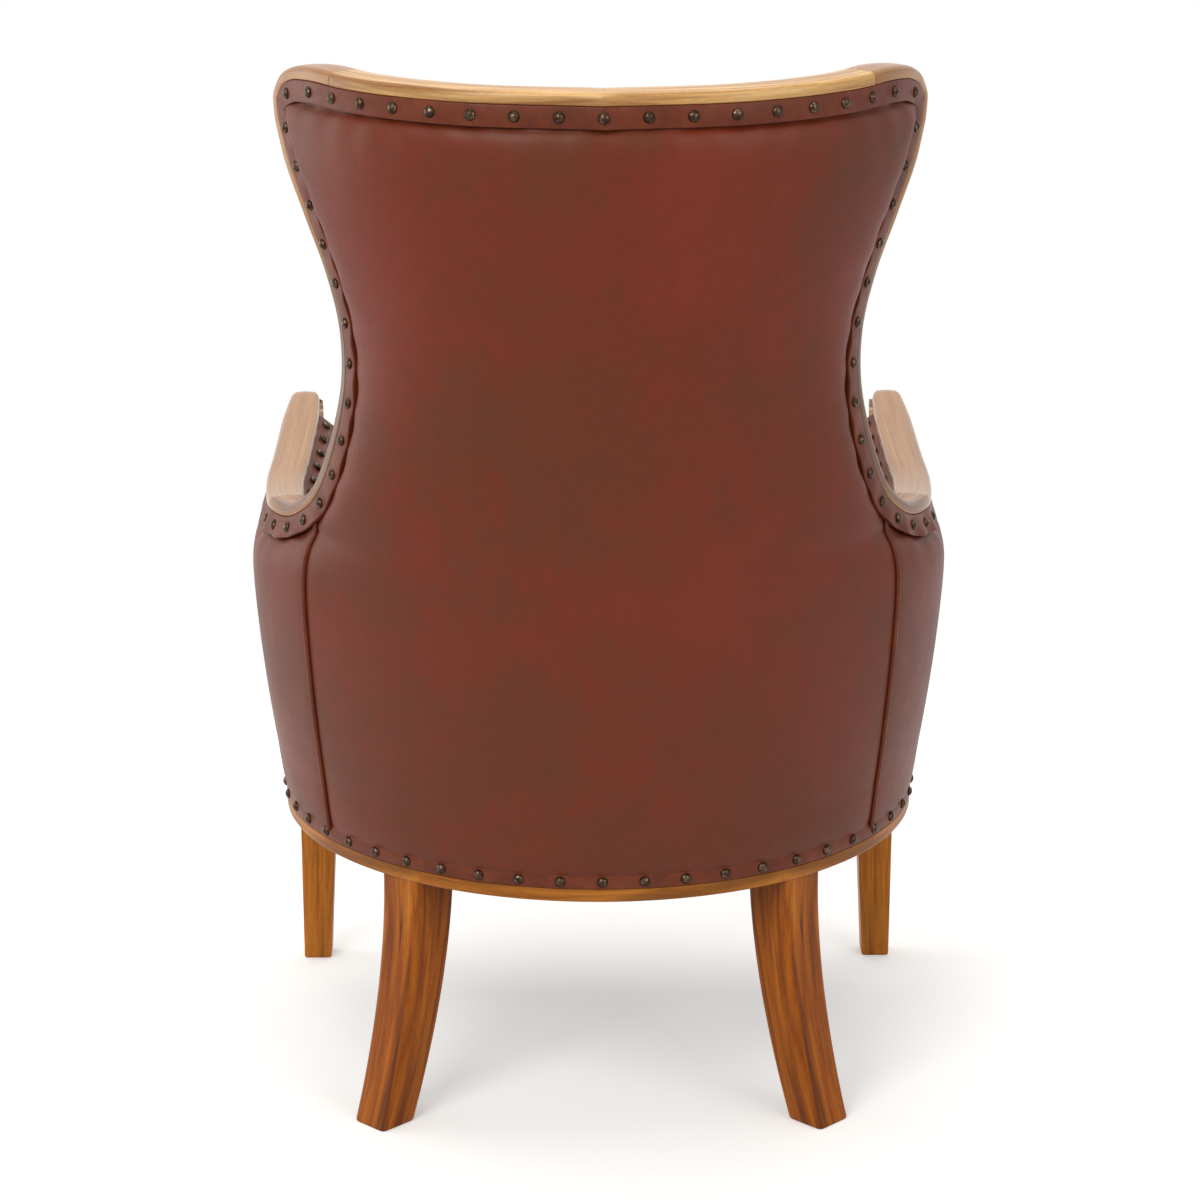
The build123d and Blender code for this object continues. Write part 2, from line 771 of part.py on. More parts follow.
def cushion_piping():
    """Covered cord round the cushion's top and bottom edges."""
    low = deck_top + seam_gap
    high = low + cushion_thick - cushion_crown
    inset = cushion_roll * 0.12 - piping_radius - seam_gap
    cords = []
    for z in (low + cushion_roll * 0.4, high - cushion_roll * 0.4):
        path = Wire(cushion_outline(z, inset))
        start = path @ 0
        cords.append(sweep(Plane(origin=start, z_dir=path % 0) * Circle(piping_radius), path=path))
    return cords


def dust_cover(legs):
    """Thin cloth stapled under the seat frame."""
    cloth = u_slab(rail_radius - dust_cover_inset, front_y + dust_cover_inset,
                   rail_bottom - dust_cover_thick, rail_bottom)
    for leg in legs:
        cloth = cloth - leg
    return Part() + largest(cloth)


def nail():
    """A dome-headed nail: the underside of its head is at the local origin."""
    tip = nail_head_height - nail_length
    dome = (nail_head_radius ** 2 + nail_head_height ** 2) / (2 * nail_head_height)
    turn = math.asin(nail_head_radius / dome) / 2
    crown = (dome * math.sin(turn), 0, nail_head_height - dome * (1 - math.cos(turn)))
    half = closed_face(
        Line((0, 0, tip), (nail_shank_radius, 0, tip)),
        Line((nail_shank_radius, 0, tip), (nail_shank_radius, 0, 0)),
        Line((nail_shank_radius, 0, 0), (nail_head_radius, 0, 0)),
        ThreePointArc((nail_head_radius, 0, 0), crown, (0, 0, nail_head_height)),
        Line((0, 0, nail_head_height), (0, 0, tip)))
    return revolve(half, axis=Axis.Z)


def spaced(points, spacing, start):
    """Places along a line of points at even spacing, with the neighbours' normals mixed."""
    places, travelled, due = [], 0.0, start
    for (here, out_here), (there, out_there) in zip(points, points[1:]):
        length = (there - here).length
        while due <= travelled + length:
            share = (due - travelled) / length
            places.append((here + (there - here) * share, (out_here * (1 - share) + out_there * share)))
            due += spacing
        travelled += length
    return places


def nails_at(places):
    pattern = nail()
    return [Plane(origin=point, z_dir=outward) * pattern for point, outward in places]


def crest_nail_places(offset, sign):
    """Nails along the crest from the middle out to where the band turns down the stile."""
    z = crest_top - nail_line
    step = degrees_along(nail_spacing, z)
    count = int((band_end_angle() - degrees_along(nail_head_radius, z)) / step)
    places = []
    for index in range(-count, count + 1):
        angle = index * step
        turn = math.radians(angle)
        outward = Vector(math.sin(turn), math.cos(turn), 0) * sign
        places.append((around(angle, offset, z), outward))
    return places


def left_nail_places(offset, sign, end_y):
    """Nails down the left stile and along the arm."""
    planes = edge_planes() + arm_planes(end_y)[1:]
    line = [((plane * Pos(offset, -nail_line, 0)).position, plane.x_dir * sign) for plane in planes]
    return spaced(line, nail_spacing, nail_head_radius)


def base_nail_places():
    """Nails round the seat frame from front leg to front leg."""
    z = (base_band_low + base_band_high) / 2
    step = degrees_along(nail_spacing, z)
    count = int(90 / step)
    places = []
    for index in range(-count, count + 1):
        turn = math.radians(index * step)
        places.append((around(index * step, 0, z), Vector(math.sin(turn), math.cos(turn), 0)))
    first = centre_y - math.radians((count + 1) * step - 90) * rail_radius
    run = int((first - leg_rear_y - nail_head_radius) / nail_spacing)
    for index in range(run + 1):
        y = first - index * nail_spacing
        for side in (-1, 1):
            places.append((Vector(side * rail_radius, y, z), Vector(side, 0, 0)))
    return places


def front_nail_places():
    z = (base_band_low + base_band_high) / 2
    half = rail_radius - front_leg_top - nail_head_radius
    count = int(half / nail_spacing)
    return [(Vector(index * nail_spacing, front_y, z), Vector(0, -1, 0)) for index in range(-count, count + 1)]


def dowel(joint):
    """A dowel laid half on each side of a joint: its middle and its heading."""
    middle, heading = joint
    return Plane(origin=middle, z_dir=heading) * Cylinder(dowel_radius, dowel_length)


def dowel_hole(joint):
    middle, heading = joint
    return Plane(origin=middle, z_dir=heading) * Cylinder(dowel_radius + dowel_clearance, dowel_length)


def left_dowel_joints():
    """The dowelled joints of the left half: two dowels each, with the nodes that they join."""
    crest_mid = crest_top - frame_deep / 2
    half_wall = -cap_wide / 2
    arm_angle = stile_line[-1][0]
    post_y = (front_y + leg_rear_y) / 2
    post_x = rail_radius - front_leg_top / 2
    rail_mid = rail_bottom + rail_height / 2
    rail_x = rail_radius - rail_thick / 2
    leg_x, leg_y = rear_leg_centre()
    arm_seat = arm_height(post_y) - frame_deep
    up = Vector(0, 0, 1)
    shift = dowel_spacing / 2
    side = Vector(math.sqrt(0.5), math.sqrt(0.5), 0)
    inward = Vector(-math.sqrt(0.5), math.sqrt(0.5), 0)
    face = rear_leg_top / 2
    outer_face = Vector(leg_x, leg_y, rail_mid) - inward * face
    inner_face = Vector(leg_x, leg_y, rail_mid) + inward * face
    joints = [
        (around(crest_joint_angle, half_wall, crest_mid), wall_heading(crest_joint_angle), up * (shift * 0.6),
         ("crest_rail", "left_stile")),
        (around(arm_angle, half_wall, arm_top - frame_deep / 2), wall_heading(arm_angle), up * (shift * 0.6),
         ("left_stile", "left_arm")),
        (Vector(arm_radius - cap_wide / 2, post_y, arm_seat), up, Vector(0, shift, 0),
         ("left_arm", "left_front_leg")),
        (Vector(rail_x, leg_rear_y, rail_mid), Vector(0, 1, 0), up * shift, ("left_seat_rail", "left_front_leg")),
        (Vector(rail_radius - front_leg_top, front_y + front_rail_thick / 2, rail_mid), Vector(1, 0, 0),
         up * shift, ("front_seat_rail", "left_front_leg")),
        (outer_face, inward, up * shift, ("left_seat_rail", "left_rear_leg")),
        (inner_face, inward, up * shift, ("rear_seat_rail", "left_rear_leg"))]
    return joints


def other_side(name):
    return name.replace("left_", "right_") if "left_" in name else name


nodes = {}
nodes["crest_rail"] = crest_rail()
nodes["left_stile"] = left_stile()
nodes["left_arm"] = left_arm()
nodes["left_front_leg"] = left_front_leg(nodes["left_arm"])
nodes["left_rear_leg"] = left_rear_leg()
nodes["left_stuffing_rail"] = left_stuffing_rail()
nodes["left_corner_block"] = left_corner_block()
nodes["left_outside_arm"] = left_outside_arm()
nodes["left_welt"] = left_welt()
nodes["left_outer_band"] = left_band(outer_band_outline, leg_rear_y)
nodes["left_inner_band"] = left_band(inner_band_outline, leg_rear_y)
nodes["left_back_post"] = left_back_post(nodes["left_stile"], nodes["left_inner_band"])
nodes["left_arm_foam"] = left_arm_foam()
nodes["left_arm_leather"] = left_arm_leather()
nodes["left_outer_nails"] = nails_at(left_nail_places(0, 1, leg_rear_y))
nodes["left_inner_nails"] = nails_at(left_nail_places(-cap_wide, -1, leg_rear_y))
for name in [key for key in nodes if key.startswith("left_")]:
    shape = nodes[name]
    nodes[other_side(name)] = [mirrored(piece) for piece in shape] if isinstance(shape, list) else mirrored(shape)

nodes.update(seat_rails())
nodes["front_seat_rail"] = front_rail()
nodes["lumbar_rail"] = lumbar_rail(nodes["left_back_post"])
nodes["block_screws"] = block_screws()
nodes["outside_back"] = outside_back()
nodes["outside_back_board"] = outside_back_board()
nodes["crest_outer_band"] = crest_band(-band_thick, 0)
nodes["crest_inner_band"] = crest_band(-cap_wide, -band_inner)
nodes["base_band"] = base_band()
nodes["front_base_band"] = front_base_band()
nodes["front_border"] = front_border()
nodes["inside_back_foam"] = inside_back_foam()
nodes["inside_back_leather"] = inside_back_leather()
nodes["long_straps"], nodes["cross_straps"] = seat_straps()
nodes["seat_deck"] = seat_deck()
nodes["cushion_core"] = cushion_solid(leather_thick + seam_gap)
nodes["cushion_cover"] = cushion_cover()
nodes["cushion_piping"] = cushion_piping()
nodes["crest_outer_nails"] = nails_at(crest_nail_places(0, 1))
nodes["crest_inner_nails"] = nails_at(crest_nail_places(-cap_wide, -1))
nodes["base_nails"] = nails_at(base_nail_places())
nodes["front_nails"] = nails_at(front_nail_places())

dowels = []
for middle, heading, spread, names in left_dowel_joints():
    for sign in (-1, 1):
        joint = (middle + spread * sign, heading)
        hole = dowel_hole(joint)
        dowels += [dowel(joint), mirrored(dowel(joint))]
        for name in names:
            nodes[name] = nodes[name] - hole
            if other_side(name) != name:
                nodes[other_side(name)] = nodes[other_side(name)] - mirrored(hole)
            else:
                nodes[name] = nodes[name] - mirrored(hole)
nodes["frame_dowels"] = dowels
legs = [nodes[name] for name in ("left_rear_leg", "right_rear_leg", "left_front_leg", "right_front_leg")]
nodes["dust_cover"] = dust_cover(legs)

os.makedirs("parts", exist_ok=True)
for name, shape in nodes.items():
    solids = [solid for piece in shape for solid in piece.solids()] if isinstance(shape, list) else shape.solids()
    export_step(Compound(children=list(solids)), f"parts/{name}.step")
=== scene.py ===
import bpy
import json
import numpy as np
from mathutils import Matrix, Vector

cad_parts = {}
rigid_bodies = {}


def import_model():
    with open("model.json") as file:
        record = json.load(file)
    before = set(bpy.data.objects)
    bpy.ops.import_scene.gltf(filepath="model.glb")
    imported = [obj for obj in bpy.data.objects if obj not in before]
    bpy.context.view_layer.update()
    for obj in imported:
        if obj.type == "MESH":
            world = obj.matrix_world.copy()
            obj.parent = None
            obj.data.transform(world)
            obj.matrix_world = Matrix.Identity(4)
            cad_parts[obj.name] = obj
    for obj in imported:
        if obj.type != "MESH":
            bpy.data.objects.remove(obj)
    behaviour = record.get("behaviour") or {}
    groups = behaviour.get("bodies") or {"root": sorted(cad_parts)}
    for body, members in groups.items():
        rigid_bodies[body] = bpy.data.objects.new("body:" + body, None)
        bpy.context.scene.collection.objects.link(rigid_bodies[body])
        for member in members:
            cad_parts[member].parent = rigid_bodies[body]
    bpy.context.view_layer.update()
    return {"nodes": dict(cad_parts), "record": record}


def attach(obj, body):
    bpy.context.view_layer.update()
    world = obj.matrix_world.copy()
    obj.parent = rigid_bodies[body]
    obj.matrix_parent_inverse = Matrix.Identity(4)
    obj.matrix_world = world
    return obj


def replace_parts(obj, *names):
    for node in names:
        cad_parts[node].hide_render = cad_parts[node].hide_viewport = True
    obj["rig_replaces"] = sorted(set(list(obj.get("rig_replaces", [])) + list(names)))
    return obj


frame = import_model()
nodes = frame["nodes"]
scene = bpy.context.scene
mm = 0.001
mirrorX = np.array([-1.0, 1.0, 1.0])
sides = (("left", np.ones(3)), ("right", mirrorX))
print("frame loaded:", len(nodes), "nodes")

# the barrel that the whole chair is drawn on, millimetres, same values as the CAD
barrel = {"railRadius": 316.0, "armRadius": 322.0, "crestRadius": 304.0, "railTop": 314.0, "armTop": 591.0,
          "crestTop": 1012.0, "lean": 103.0, "centreY": -109.5, "waistDip": 48.0, "waistSpan": 360.0,
          "noseY": -309.5, "frontY": -293.5, "legRearY": -251.5, "railBottom": 244.0}


def barrelRadius(z):
    # radius grows straight from rail to arm, then goes straight to the crest less a sine-squared waist
    b = barrel
    low = np.clip((z - b["railTop"]) / (b["armTop"] - b["railTop"]), 0, 1)
    up = np.clip((z - b["armTop"]) / (b["crestTop"] - b["armTop"]), 0, None)
    dip = np.sin(np.pi * np.clip((z - b["armTop"]) / b["waistSpan"], 0, 1)) ** 2
    radius = b["railRadius"] + (b["armRadius"] - b["railRadius"]) * low
    return radius + (b["crestRadius"] - b["armRadius"]) * up - b["waistDip"] * dip


def arcCentre(z):
    # the back leans in proportion to the height above the rail, measured at its rearmost line
    b = barrel
    rise = np.clip((z - b["railTop"]) / (b["crestTop"] - b["railTop"]), 0, None)
    return b["centreY"] + b["railRadius"] + b["lean"] * rise - barrelRadius(z)


def wallNormal(a):
    # level direction out of the wall: radial round the back, square to the side beyond 90 degrees
    turn = np.clip(a, -np.pi / 2, np.pi / 2)
    return np.stack([np.sin(turn), np.cos(turn), np.zeros_like(turn)], axis=-1)


def wall(a, z, out):
    # a is the angle round the back; past a right angle it is the run forward along the side, over the radius
    a, z, out = np.broadcast_arrays(*(np.asarray(value, float) for value in (a, z, out)))
    reach = barrelRadius(z) + out
    turn = np.clip(a, -np.pi / 2, np.pi / 2)
    forward = np.clip(np.abs(a) - np.pi / 2, 0, None) * barrel["armRadius"]
    return np.stack([reach * np.sin(turn), arcCentre(z) + reach * np.cos(turn) - forward, z], axis=-1)


def wallPlace(points):
    # the reverse of wall: run a and height z of points near the wall
    z = points[..., 2]
    back = points[..., 1] - arcCentre(z)
    turn = np.arctan2(points[..., 0], np.maximum(back, 0))
    return turn + np.sign(turn) * np.maximum(-back, 0) / barrel["armRadius"], z


def sideRun(y, z):
    # the run a of a place on the straight side
    return np.pi / 2 + (arcCentre(np.asarray(z, float)) - y) / barrel["armRadius"]


def soft(d, reach):
    # rises from 0 at an edge towards 1 at a few reaches from it
    return 1 - np.exp(-np.clip(d, 0, None) / reach)


def ramp(x, low, high):
    # eased step from 0 at low to 1 at high
    t = np.clip((x - low) / (high - low), 0, 1)
    return t * t * (3 - 2 * t)


def pointsFrom(x, y, z):
    # points from coordinates of shapes that fit each other
    return np.stack(np.broadcast_arrays(x, y, z), axis=-1)


def unit(v):
    return v / np.maximum(np.linalg.norm(v, axis=-1, keepdims=True), 1e-12)


def squareTo(heading, v):
    # what of v is square to the heading, at length one
    return unit(v - heading * np.sum(v * heading, axis=1, keepdims=True))


def totals(steps):
    # running total of the steps, from nothing
    return np.concatenate([[0], np.cumsum(steps)])


def runLength(path):
    return totals(np.linalg.norm(np.diff(path, axis=0), axis=1))


def along(s, length, values):
    # values given at the lengths, read at s
    return np.stack([np.interp(s, length, values[:, k]) for k in range(values.shape[1])], axis=-1)


def smoothLine(points, count):
    # cubic pieces through the points, slopes taken from the neighbours, evenly sampled by chord length
    d = runLength(points)
    slope = np.gradient(points, d, axis=0)
    s = np.linspace(0, d[-1], count)
    i = np.clip(np.searchsorted(d, s) - 1, 0, len(d) - 2)
    h = (d[i + 1] - d[i])[:, None]
    t = ((s - d[i])[:, None]) / h
    return ((2 * t ** 3 - 3 * t ** 2 + 1) * points[i] + (t ** 3 - 2 * t ** 2 + t) * h * slope[i]
            + (3 * t ** 2 - 2 * t ** 3) * points[i + 1] + (t ** 3 - t ** 2) * h * slope[i + 1])


def roundedOutline(corners, radii, steps=5):
    # each corner becomes a small curve that starts and ends one radius from it, within half of either side
    p = np.asarray(corners, float)
    before, after = np.roll(p, 1, axis=0) - p, np.roll(p, -1, axis=0) - p
    room = 0.49 * np.minimum(np.linalg.norm(before, axis=1), np.linalg.norm(after, axis=1))
    r = np.minimum(radii, room)[:, None]
    start, end = p + unit(before) * r, p + unit(after) * r
    k = np.linspace(0, 1, steps)[None, :, None]
    curve = (1 - k) ** 2 * start[:, None] + 2 * k * (1 - k) * p[:, None] + k ** 2 * end[:, None]
    return curve.reshape(-1, 2)


def outlineNormals(outline):
    # outward directions of a closed outline
    x, y = outline[:, 0], outline[:, 1]
    t = unit(np.roll(outline, -1, axis=0) - np.roll(outline, 1, axis=0))
    turn = np.sign(np.sum(x * np.roll(y, -1) - np.roll(x, -1) * y))
    return np.stack([t[:, 1], -t[:, 0]], axis=1) * turn


def rounding(ease):
    # places from an end, and insets there, of the sections that round it over; a plain end has one section
    turn = np.linspace(0, np.pi / 2, 5) if ease else np.zeros(1)
    return ease * (1 - np.cos(turn)), ease * (1 - np.sin(turn))


def bandShare(outline):
    # nothing at the show wood's lower edge, one at a band's foot
    return np.clip((outline[:, 1] - woodLine["capShow"]) / bandWide, 0, 1)


def carried(path, outward, outline, easeStart=0.0, easeEnd=0.0, easeAcross=1.0, lean=None, narrow=None,
            fade=0.0):
    # outline points (out of the wall, across from the edge) carried along the path, its ends rounded over;
    # by path point, lean pushes a band's foot out of the wall and narrow scales the width about the wood's
    # middle; fade is the length over which the tongue sinks into the show wood, and how far from the end
    length = runLength(path)
    (first, firstIn), (last, lastIn) = rounding(easeStart), rounding(easeEnd)
    between = length[(length > easeStart) & (length < length[-1] - easeEnd)]
    s = np.concatenate([first, between, length[-1] - last[::-1]])
    inset = np.concatenate([firstIn, np.zeros(len(between)), lastIn[::-1]])
    reach = 1.5
    ahead, behind = np.minimum(s + reach, length[-1]), np.maximum(s - reach, 0)
    heading = unit(along(ahead, length, path) - along(behind, length, path))
    out = squareTo(heading, along(s, length, outward))
    across = np.cross(out, heading)
    section = outline[None] - outlineNormals(outline)[None] * [1.0, easeAcross] * inset[:, None, None]
    if lean is not None:
        section = section + (np.interp(s, length, lean)[:, None] * bandShare(outline))[..., None] * [1.0, 0.0]
    if narrow is not None:
        middle = np.array([-woodLine["capWide"] / 2, 0.0])
        factor = np.stack([np.interp(s, length, narrow), np.ones(len(s))], axis=-1)
        section = middle + (section - middle) * factor[:, None]
    if fade:
        sunk = 1 - np.clip((length[-1] - s) / fade - 1, 0, 1)
        below = np.maximum(section[..., 1] - woodLine["capShow"], 0)
        section = section - (below * sunk[:, None])[..., None] * [0.0, 1.0]
    spot = along(s, length, path)
    return spot[:, None] + out[:, None] * section[..., :1] + across[:, None] * section[..., 1:], s


def quadGrid(index):
    # the corners of each cell in a grid of point numbers
    return np.stack([index[:-1, :-1], index[1:, :-1], index[1:, 1:], index[:-1, 1:]], axis=-1).reshape(-1, 4)


def makePiece(name, grid, finish, stands, body="frame", ring=False, capped=False, facing=None):
    # rows and columns of points joined by quads; a ring closes across, caps close the ends
    points = grid.reshape(-1, 3)
    index = np.arange(len(points)).reshape(grid.shape[:2])
    full = np.concatenate([grid, grid[:, :1]], axis=1) if ring else grid
    quads = quadGrid(np.concatenate([index, index[:, :1]], axis=1) if ring else index)
    # the map measures the piece's own lengths, along and across
    du = totals(np.linalg.norm(np.diff(grid, axis=0), axis=2).mean(axis=1))
    dv = totals(np.linalg.norm(np.diff(full, axis=1), axis=2).mean(axis=0))
    uv = np.stack(np.meshgrid(du, dv, indexing="ij"), axis=-1).reshape(-1, 2)
    uvQuads = quadGrid(np.arange(len(uv)).reshape(full.shape[:2]))
    a, b, c, d = (points[quads[:, k]] for k in range(4))
    middle = (a + b + c + d) / 4
    outward = middle - points.mean(axis=0) if facing is None else facing(middle)
    caps = [index[0], index[-1][::-1]] if capped else []
    if np.sum(np.cross(c - a, d - b) * outward) < 0:
        quads, uvQuads = quads[:, ::-1], uvQuads[:, ::-1]
        caps = [cap[::-1] for cap in caps]
    mesh = bpy.data.meshes.new(name)
    mesh.from_pydata(points * mm, [], quads.tolist() + [cap.tolist() for cap in caps])
    layer = mesh.uv_layers.new(name="run")
    capUv = [np.stack([points[cap][:, 0], points[cap][:, 1] + points[cap][:, 2]], axis=1) for cap in caps]
    layer.data.foreach_set("uv", (np.concatenate([uv[uvQuads.ravel()]] + capUv) * mm).ravel())
    flags = np.concatenate([np.ones(len(quads), bool), np.zeros(len(caps), bool)])
    return dress(name, mesh, flags, finish, body, stands)


def makeBar(name, grid, finish, slotName, *stands):
    # a closed bar or strip of the frame
    return makePiece(name, grid, finish, stands, ring=True, capped=True)


def dress(name, mesh, smooth, finish, body, stands):
    # links the piece, gives it its finish, its body and the CAD nodes that it stands for
    mesh.polygons.foreach_set("use_smooth", smooth)
    mesh.materials.append(finish)
    mesh.update()
    piece = bpy.data.objects.new(name, mesh)
    scene.collection.objects.link(piece)
    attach(piece, body)
    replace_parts(piece, *stands)
    return piece


def fromWall(sign):
    # direction out of the wall at points, or into the seat with sign -1
    return lambda points: wallNormal(wallPlace(points)[0]) * sign


def thicken(piece, thick):
    # leather thickness behind the modelled face
    skin = piece.modifiers.new("thickness", "SOLIDIFY")
    skin.thickness = thick * mm
    skin.offset = -1
    return piece


# materials
def linear(hexText):
    # sRGB hex to linear colour
    c = np.array([int(hexText[i:i + 2], 16) for i in (1, 3, 5)]) / 255
    c = np.where(c <= 0.04045, c / 12.92, ((c + 0.055) / 1.055) ** 2.4)
    return (*c.tolist(), 1.0)


def evenly(low, high, *tones):
    # colour stops at even places from low to high
    return list(zip(np.linspace(low, high, len(tones)).tolist(), tones))


def tiles(*sizes):
    # repeats of a pattern in a metre, for its sizes in millimetres
    return tuple(1000 / size for size in sizes)


def feed(tree, node, inputs):
    # an input, by name or by number as in i0, takes a value, a socket or a node's first output
    for key, value in inputs.items():
        numbered = key[0] == "i" and key[1:].isdigit()
        socket = node.inputs[int(key[1:]) if numbered else key.replace("_", " ")]
        if isinstance(value, bpy.types.Node):
            value = value.outputs[0]
        if isinstance(value, bpy.types.NodeSocket):
            tree.links.new(value, socket)
        else:
            socket.default_value = value


def addNode(tree, kind, settings=None, **inputs):
    # one node with its settings, inputs and, for a ramp, its colours
    node = tree.nodes.new(kind)
    for key, value in (settings or {}).items():
        if key == "stops":
            elements = node.color_ramp.elements
            while len(elements) < len(value):
                elements.new(0.5)
            for element, (place, hexText) in zip(elements, value):
                element.position = place
                element.color = linear(hexText)
        else:
            setattr(node, key, value)
    feed(tree, node, inputs)
    return node


def newFinish(name, coords="Object", **constants):
    # an empty principled material with its constants, and the coordinates for its patterns
    material = bpy.data.materials.new(name)
    material.use_nodes = True
    tree = material.node_tree
    shader = tree.nodes["Principled BSDF"]
    feed(tree, shader, constants)
    return material, tree, shader, addNode(tree, "ShaderNodeTexCoord").outputs[coords]


multiplied = {"data_type": "RGBA", "blend_type": "MULTIPLY"}
# the real grain is about 1 mm; drawn at 2.6 mm so that it shows in the render
leatherLook = {"speck": 7.0, "grain": 2.6, "roll": 28.0, "shine": 0.29}


def leatherFinish(name, tones, gloss, patch):
    # aniline-dyed hide: cloudy red-brown dye, fine pebble grain, soft waxed sheen
    look = leatherLook
    material, tree, shader, place = newFinish(name, IOR=1.45, Specular_IOR_Level=look["shine"])
    cloud = addNode(tree, "ShaderNodeTexNoise", Vector=place, Scale=1000 / patch, Detail=8.0, Roughness=0.74)
    dye = addNode(tree, "ShaderNodeValToRGB", {"stops": tones}, Fac=cloud)
    speck = addNode(tree, "ShaderNodeTexNoise", Vector=place, Scale=1000 / look["speck"], Detail=3.0,
                    Roughness=0.6)
    shade = addNode(tree, "ShaderNodeMapRange", i0=speck, i1=0.3, i2=0.75, i3=0.94, i4=1.04)
    dyed = addNode(tree, "ShaderNodeMix", multiplied, i0=1.0, i6=dye, i7=shade)
    wax = addNode(tree, "ShaderNodeMapRange", i0=cloud, i1=0.3, i2=0.7, i3=gloss + 0.08, i4=gloss - 0.06)
    pebble = addNode(tree, "ShaderNodeTexVoronoi", {"feature": "SMOOTH_F1"}, Vector=place,
                     Scale=1000 / look["grain"])
    lift = addNode(tree, "ShaderNodeBump", Strength=0.12, Distance=0.0006, Height=pebble)
    wave = addNode(tree, "ShaderNodeTexNoise", Vector=place, Scale=1000 / look["roll"], Detail=4.0)
    roll = addNode(tree, "ShaderNodeBump", Strength=0.12, Distance=0.003, Height=wave, Normal=lift)
    feed(tree, shader, {"Base_Color": dyed.outputs[2], "Roughness": wax, "Normal": roll})
    return material


def woodFinish(name, tones, streak, gloss, coat=0.0, grainWide=3.2, coords="UV", shine=0.3, figured=0.8):
    # planed and oiled timber: long fibres, darker streaks and fine open pores; their sizes in millimetres are
    # along and across the run on UV, across twice and up on the piece's own coordinates
    material, tree, shader, place = newFinish(name, coords, IOR=1.5, Specular_IOR_Level=shine,
                                              Coat_Weight=coat, Coat_Roughness=0.2)
    if coords == "UV":
        sizes = (170, grainWide, 1000), (300, 22, 1000), (9, 0.9, 1000)
    else:
        sizes = (40, 40, 170), (26, 26, 300), (2.4, 2.4, 22)
    fibre, figure, pore = (addNode(tree, "ShaderNodeMapping", Vector=place, Scale=tiles(*size))
                           for size in sizes)
    fibres = addNode(tree, "ShaderNodeTexNoise", Vector=fibre, Scale=1.0, Detail=4.0, Roughness=0.6,
                     Distortion=0.4)
    tone = addNode(tree, "ShaderNodeValToRGB", {"stops": tones}, Fac=fibres)
    bands = addNode(tree, "ShaderNodeTexNoise", Vector=figure, Scale=1.0, Detail=3.0, Distortion=figured)
    dark = addNode(tree, "ShaderNodeMapRange", i0=bands, i1=0.48, i2=0.66, i3=0.0, i4=0.88)
    streaked = addNode(tree, "ShaderNodeMix", {"data_type": "RGBA"}, i0=dark, i6=tone, i7=linear(streak))
    pores = addNode(tree, "ShaderNodeTexNoise", Vector=pore, Scale=1.0, Detail=2.0)
    hollow = addNode(tree, "ShaderNodeMapRange", i0=pores, i1=0.3, i2=0.5, i3=0.78, i4=1.0)
    porous = addNode(tree, "ShaderNodeMix", multiplied, i0=1.0, i6=streaked.outputs[2], i7=hollow)
    rough = addNode(tree, "ShaderNodeMapRange", i0=fibres, i1=0.3, i2=0.7, i3=gloss + 0.1, i4=gloss)
    lift = addNode(tree, "ShaderNodeBump", Strength=0.25, Distance=0.0003, Height=pores)
    feed(tree, shader, {"Base_Color": porous.outputs[2], "Roughness": rough, "Normal": lift})
    return material


def bronzeFinish(name):
    # aged bronze nail: dark patina in specks of about 4 mm, worn bright between them
    material, tree, shader, place = newFinish(name, Metallic=1.0)
    patina = addNode(tree, "ShaderNodeTexNoise", Vector=place, Scale=1000 / 4.0, Detail=4.0, Roughness=0.65)
    tones = [(0.3, "#231914"), (0.5, "#43342a"), (0.72, "#74614f")]
    tone = addNode(tree, "ShaderNodeValToRGB", {"stops": tones}, Fac=patina)
    rough = addNode(tree, "ShaderNodeMapRange", i0=patina, i1=0.3, i2=0.7, i3=0.4, i4=0.25)
    feed(tree, shader, {"Base_Color": tone, "Roughness": rough})
    return material


def wovenFinish(name, dark, light, thread, rough):
    # plain weave: over and under threads from two crossed waves on the piece's own coordinates
    material, tree, shader, place = newFinish(name, IOR=1.45, Roughness=rough, Sheen_Weight=0.2)
    warp, weft = (addNode(tree, "ShaderNodeTexWave", {"bands_direction": way}, Vector=place,
                          Scale=1000 / (thread * 6.28), Distortion=0.6).outputs["Fac"] for way in ("X", "Y"))
    cross = addNode(tree, "ShaderNodeMath", {"operation": "MULTIPLY"}, i0=warp, i1=weft)
    tone = addNode(tree, "ShaderNodeValToRGB", {"stops": [(0.1, dark), (0.7, light)]}, Fac=cross)
    lift = addNode(tree, "ShaderNodeBump", Strength=0.4, Distance=0.0004, Height=cross)
    feed(tree, shader, {"Base_Color": tone, "Normal": lift})
    return material


def steelFinish(name):
    # zinc-plated screw steel with faint turning marks, about 1.5 mm apart
    material, tree, shader, place = newFinish(name, Metallic=1.0, Roughness=0.32)
    marks = addNode(tree, "ShaderNodeTexNoise", Vector=place, Scale=1000 / 1.5, Detail=2.0)
    tone = addNode(tree, "ShaderNodeValToRGB", {"stops": [(0.3, "#8f9092"), (0.7, "#c2c3c4")]}, Fac=marks)
    feed(tree, shader, {"Base_Color": tone})
    return material


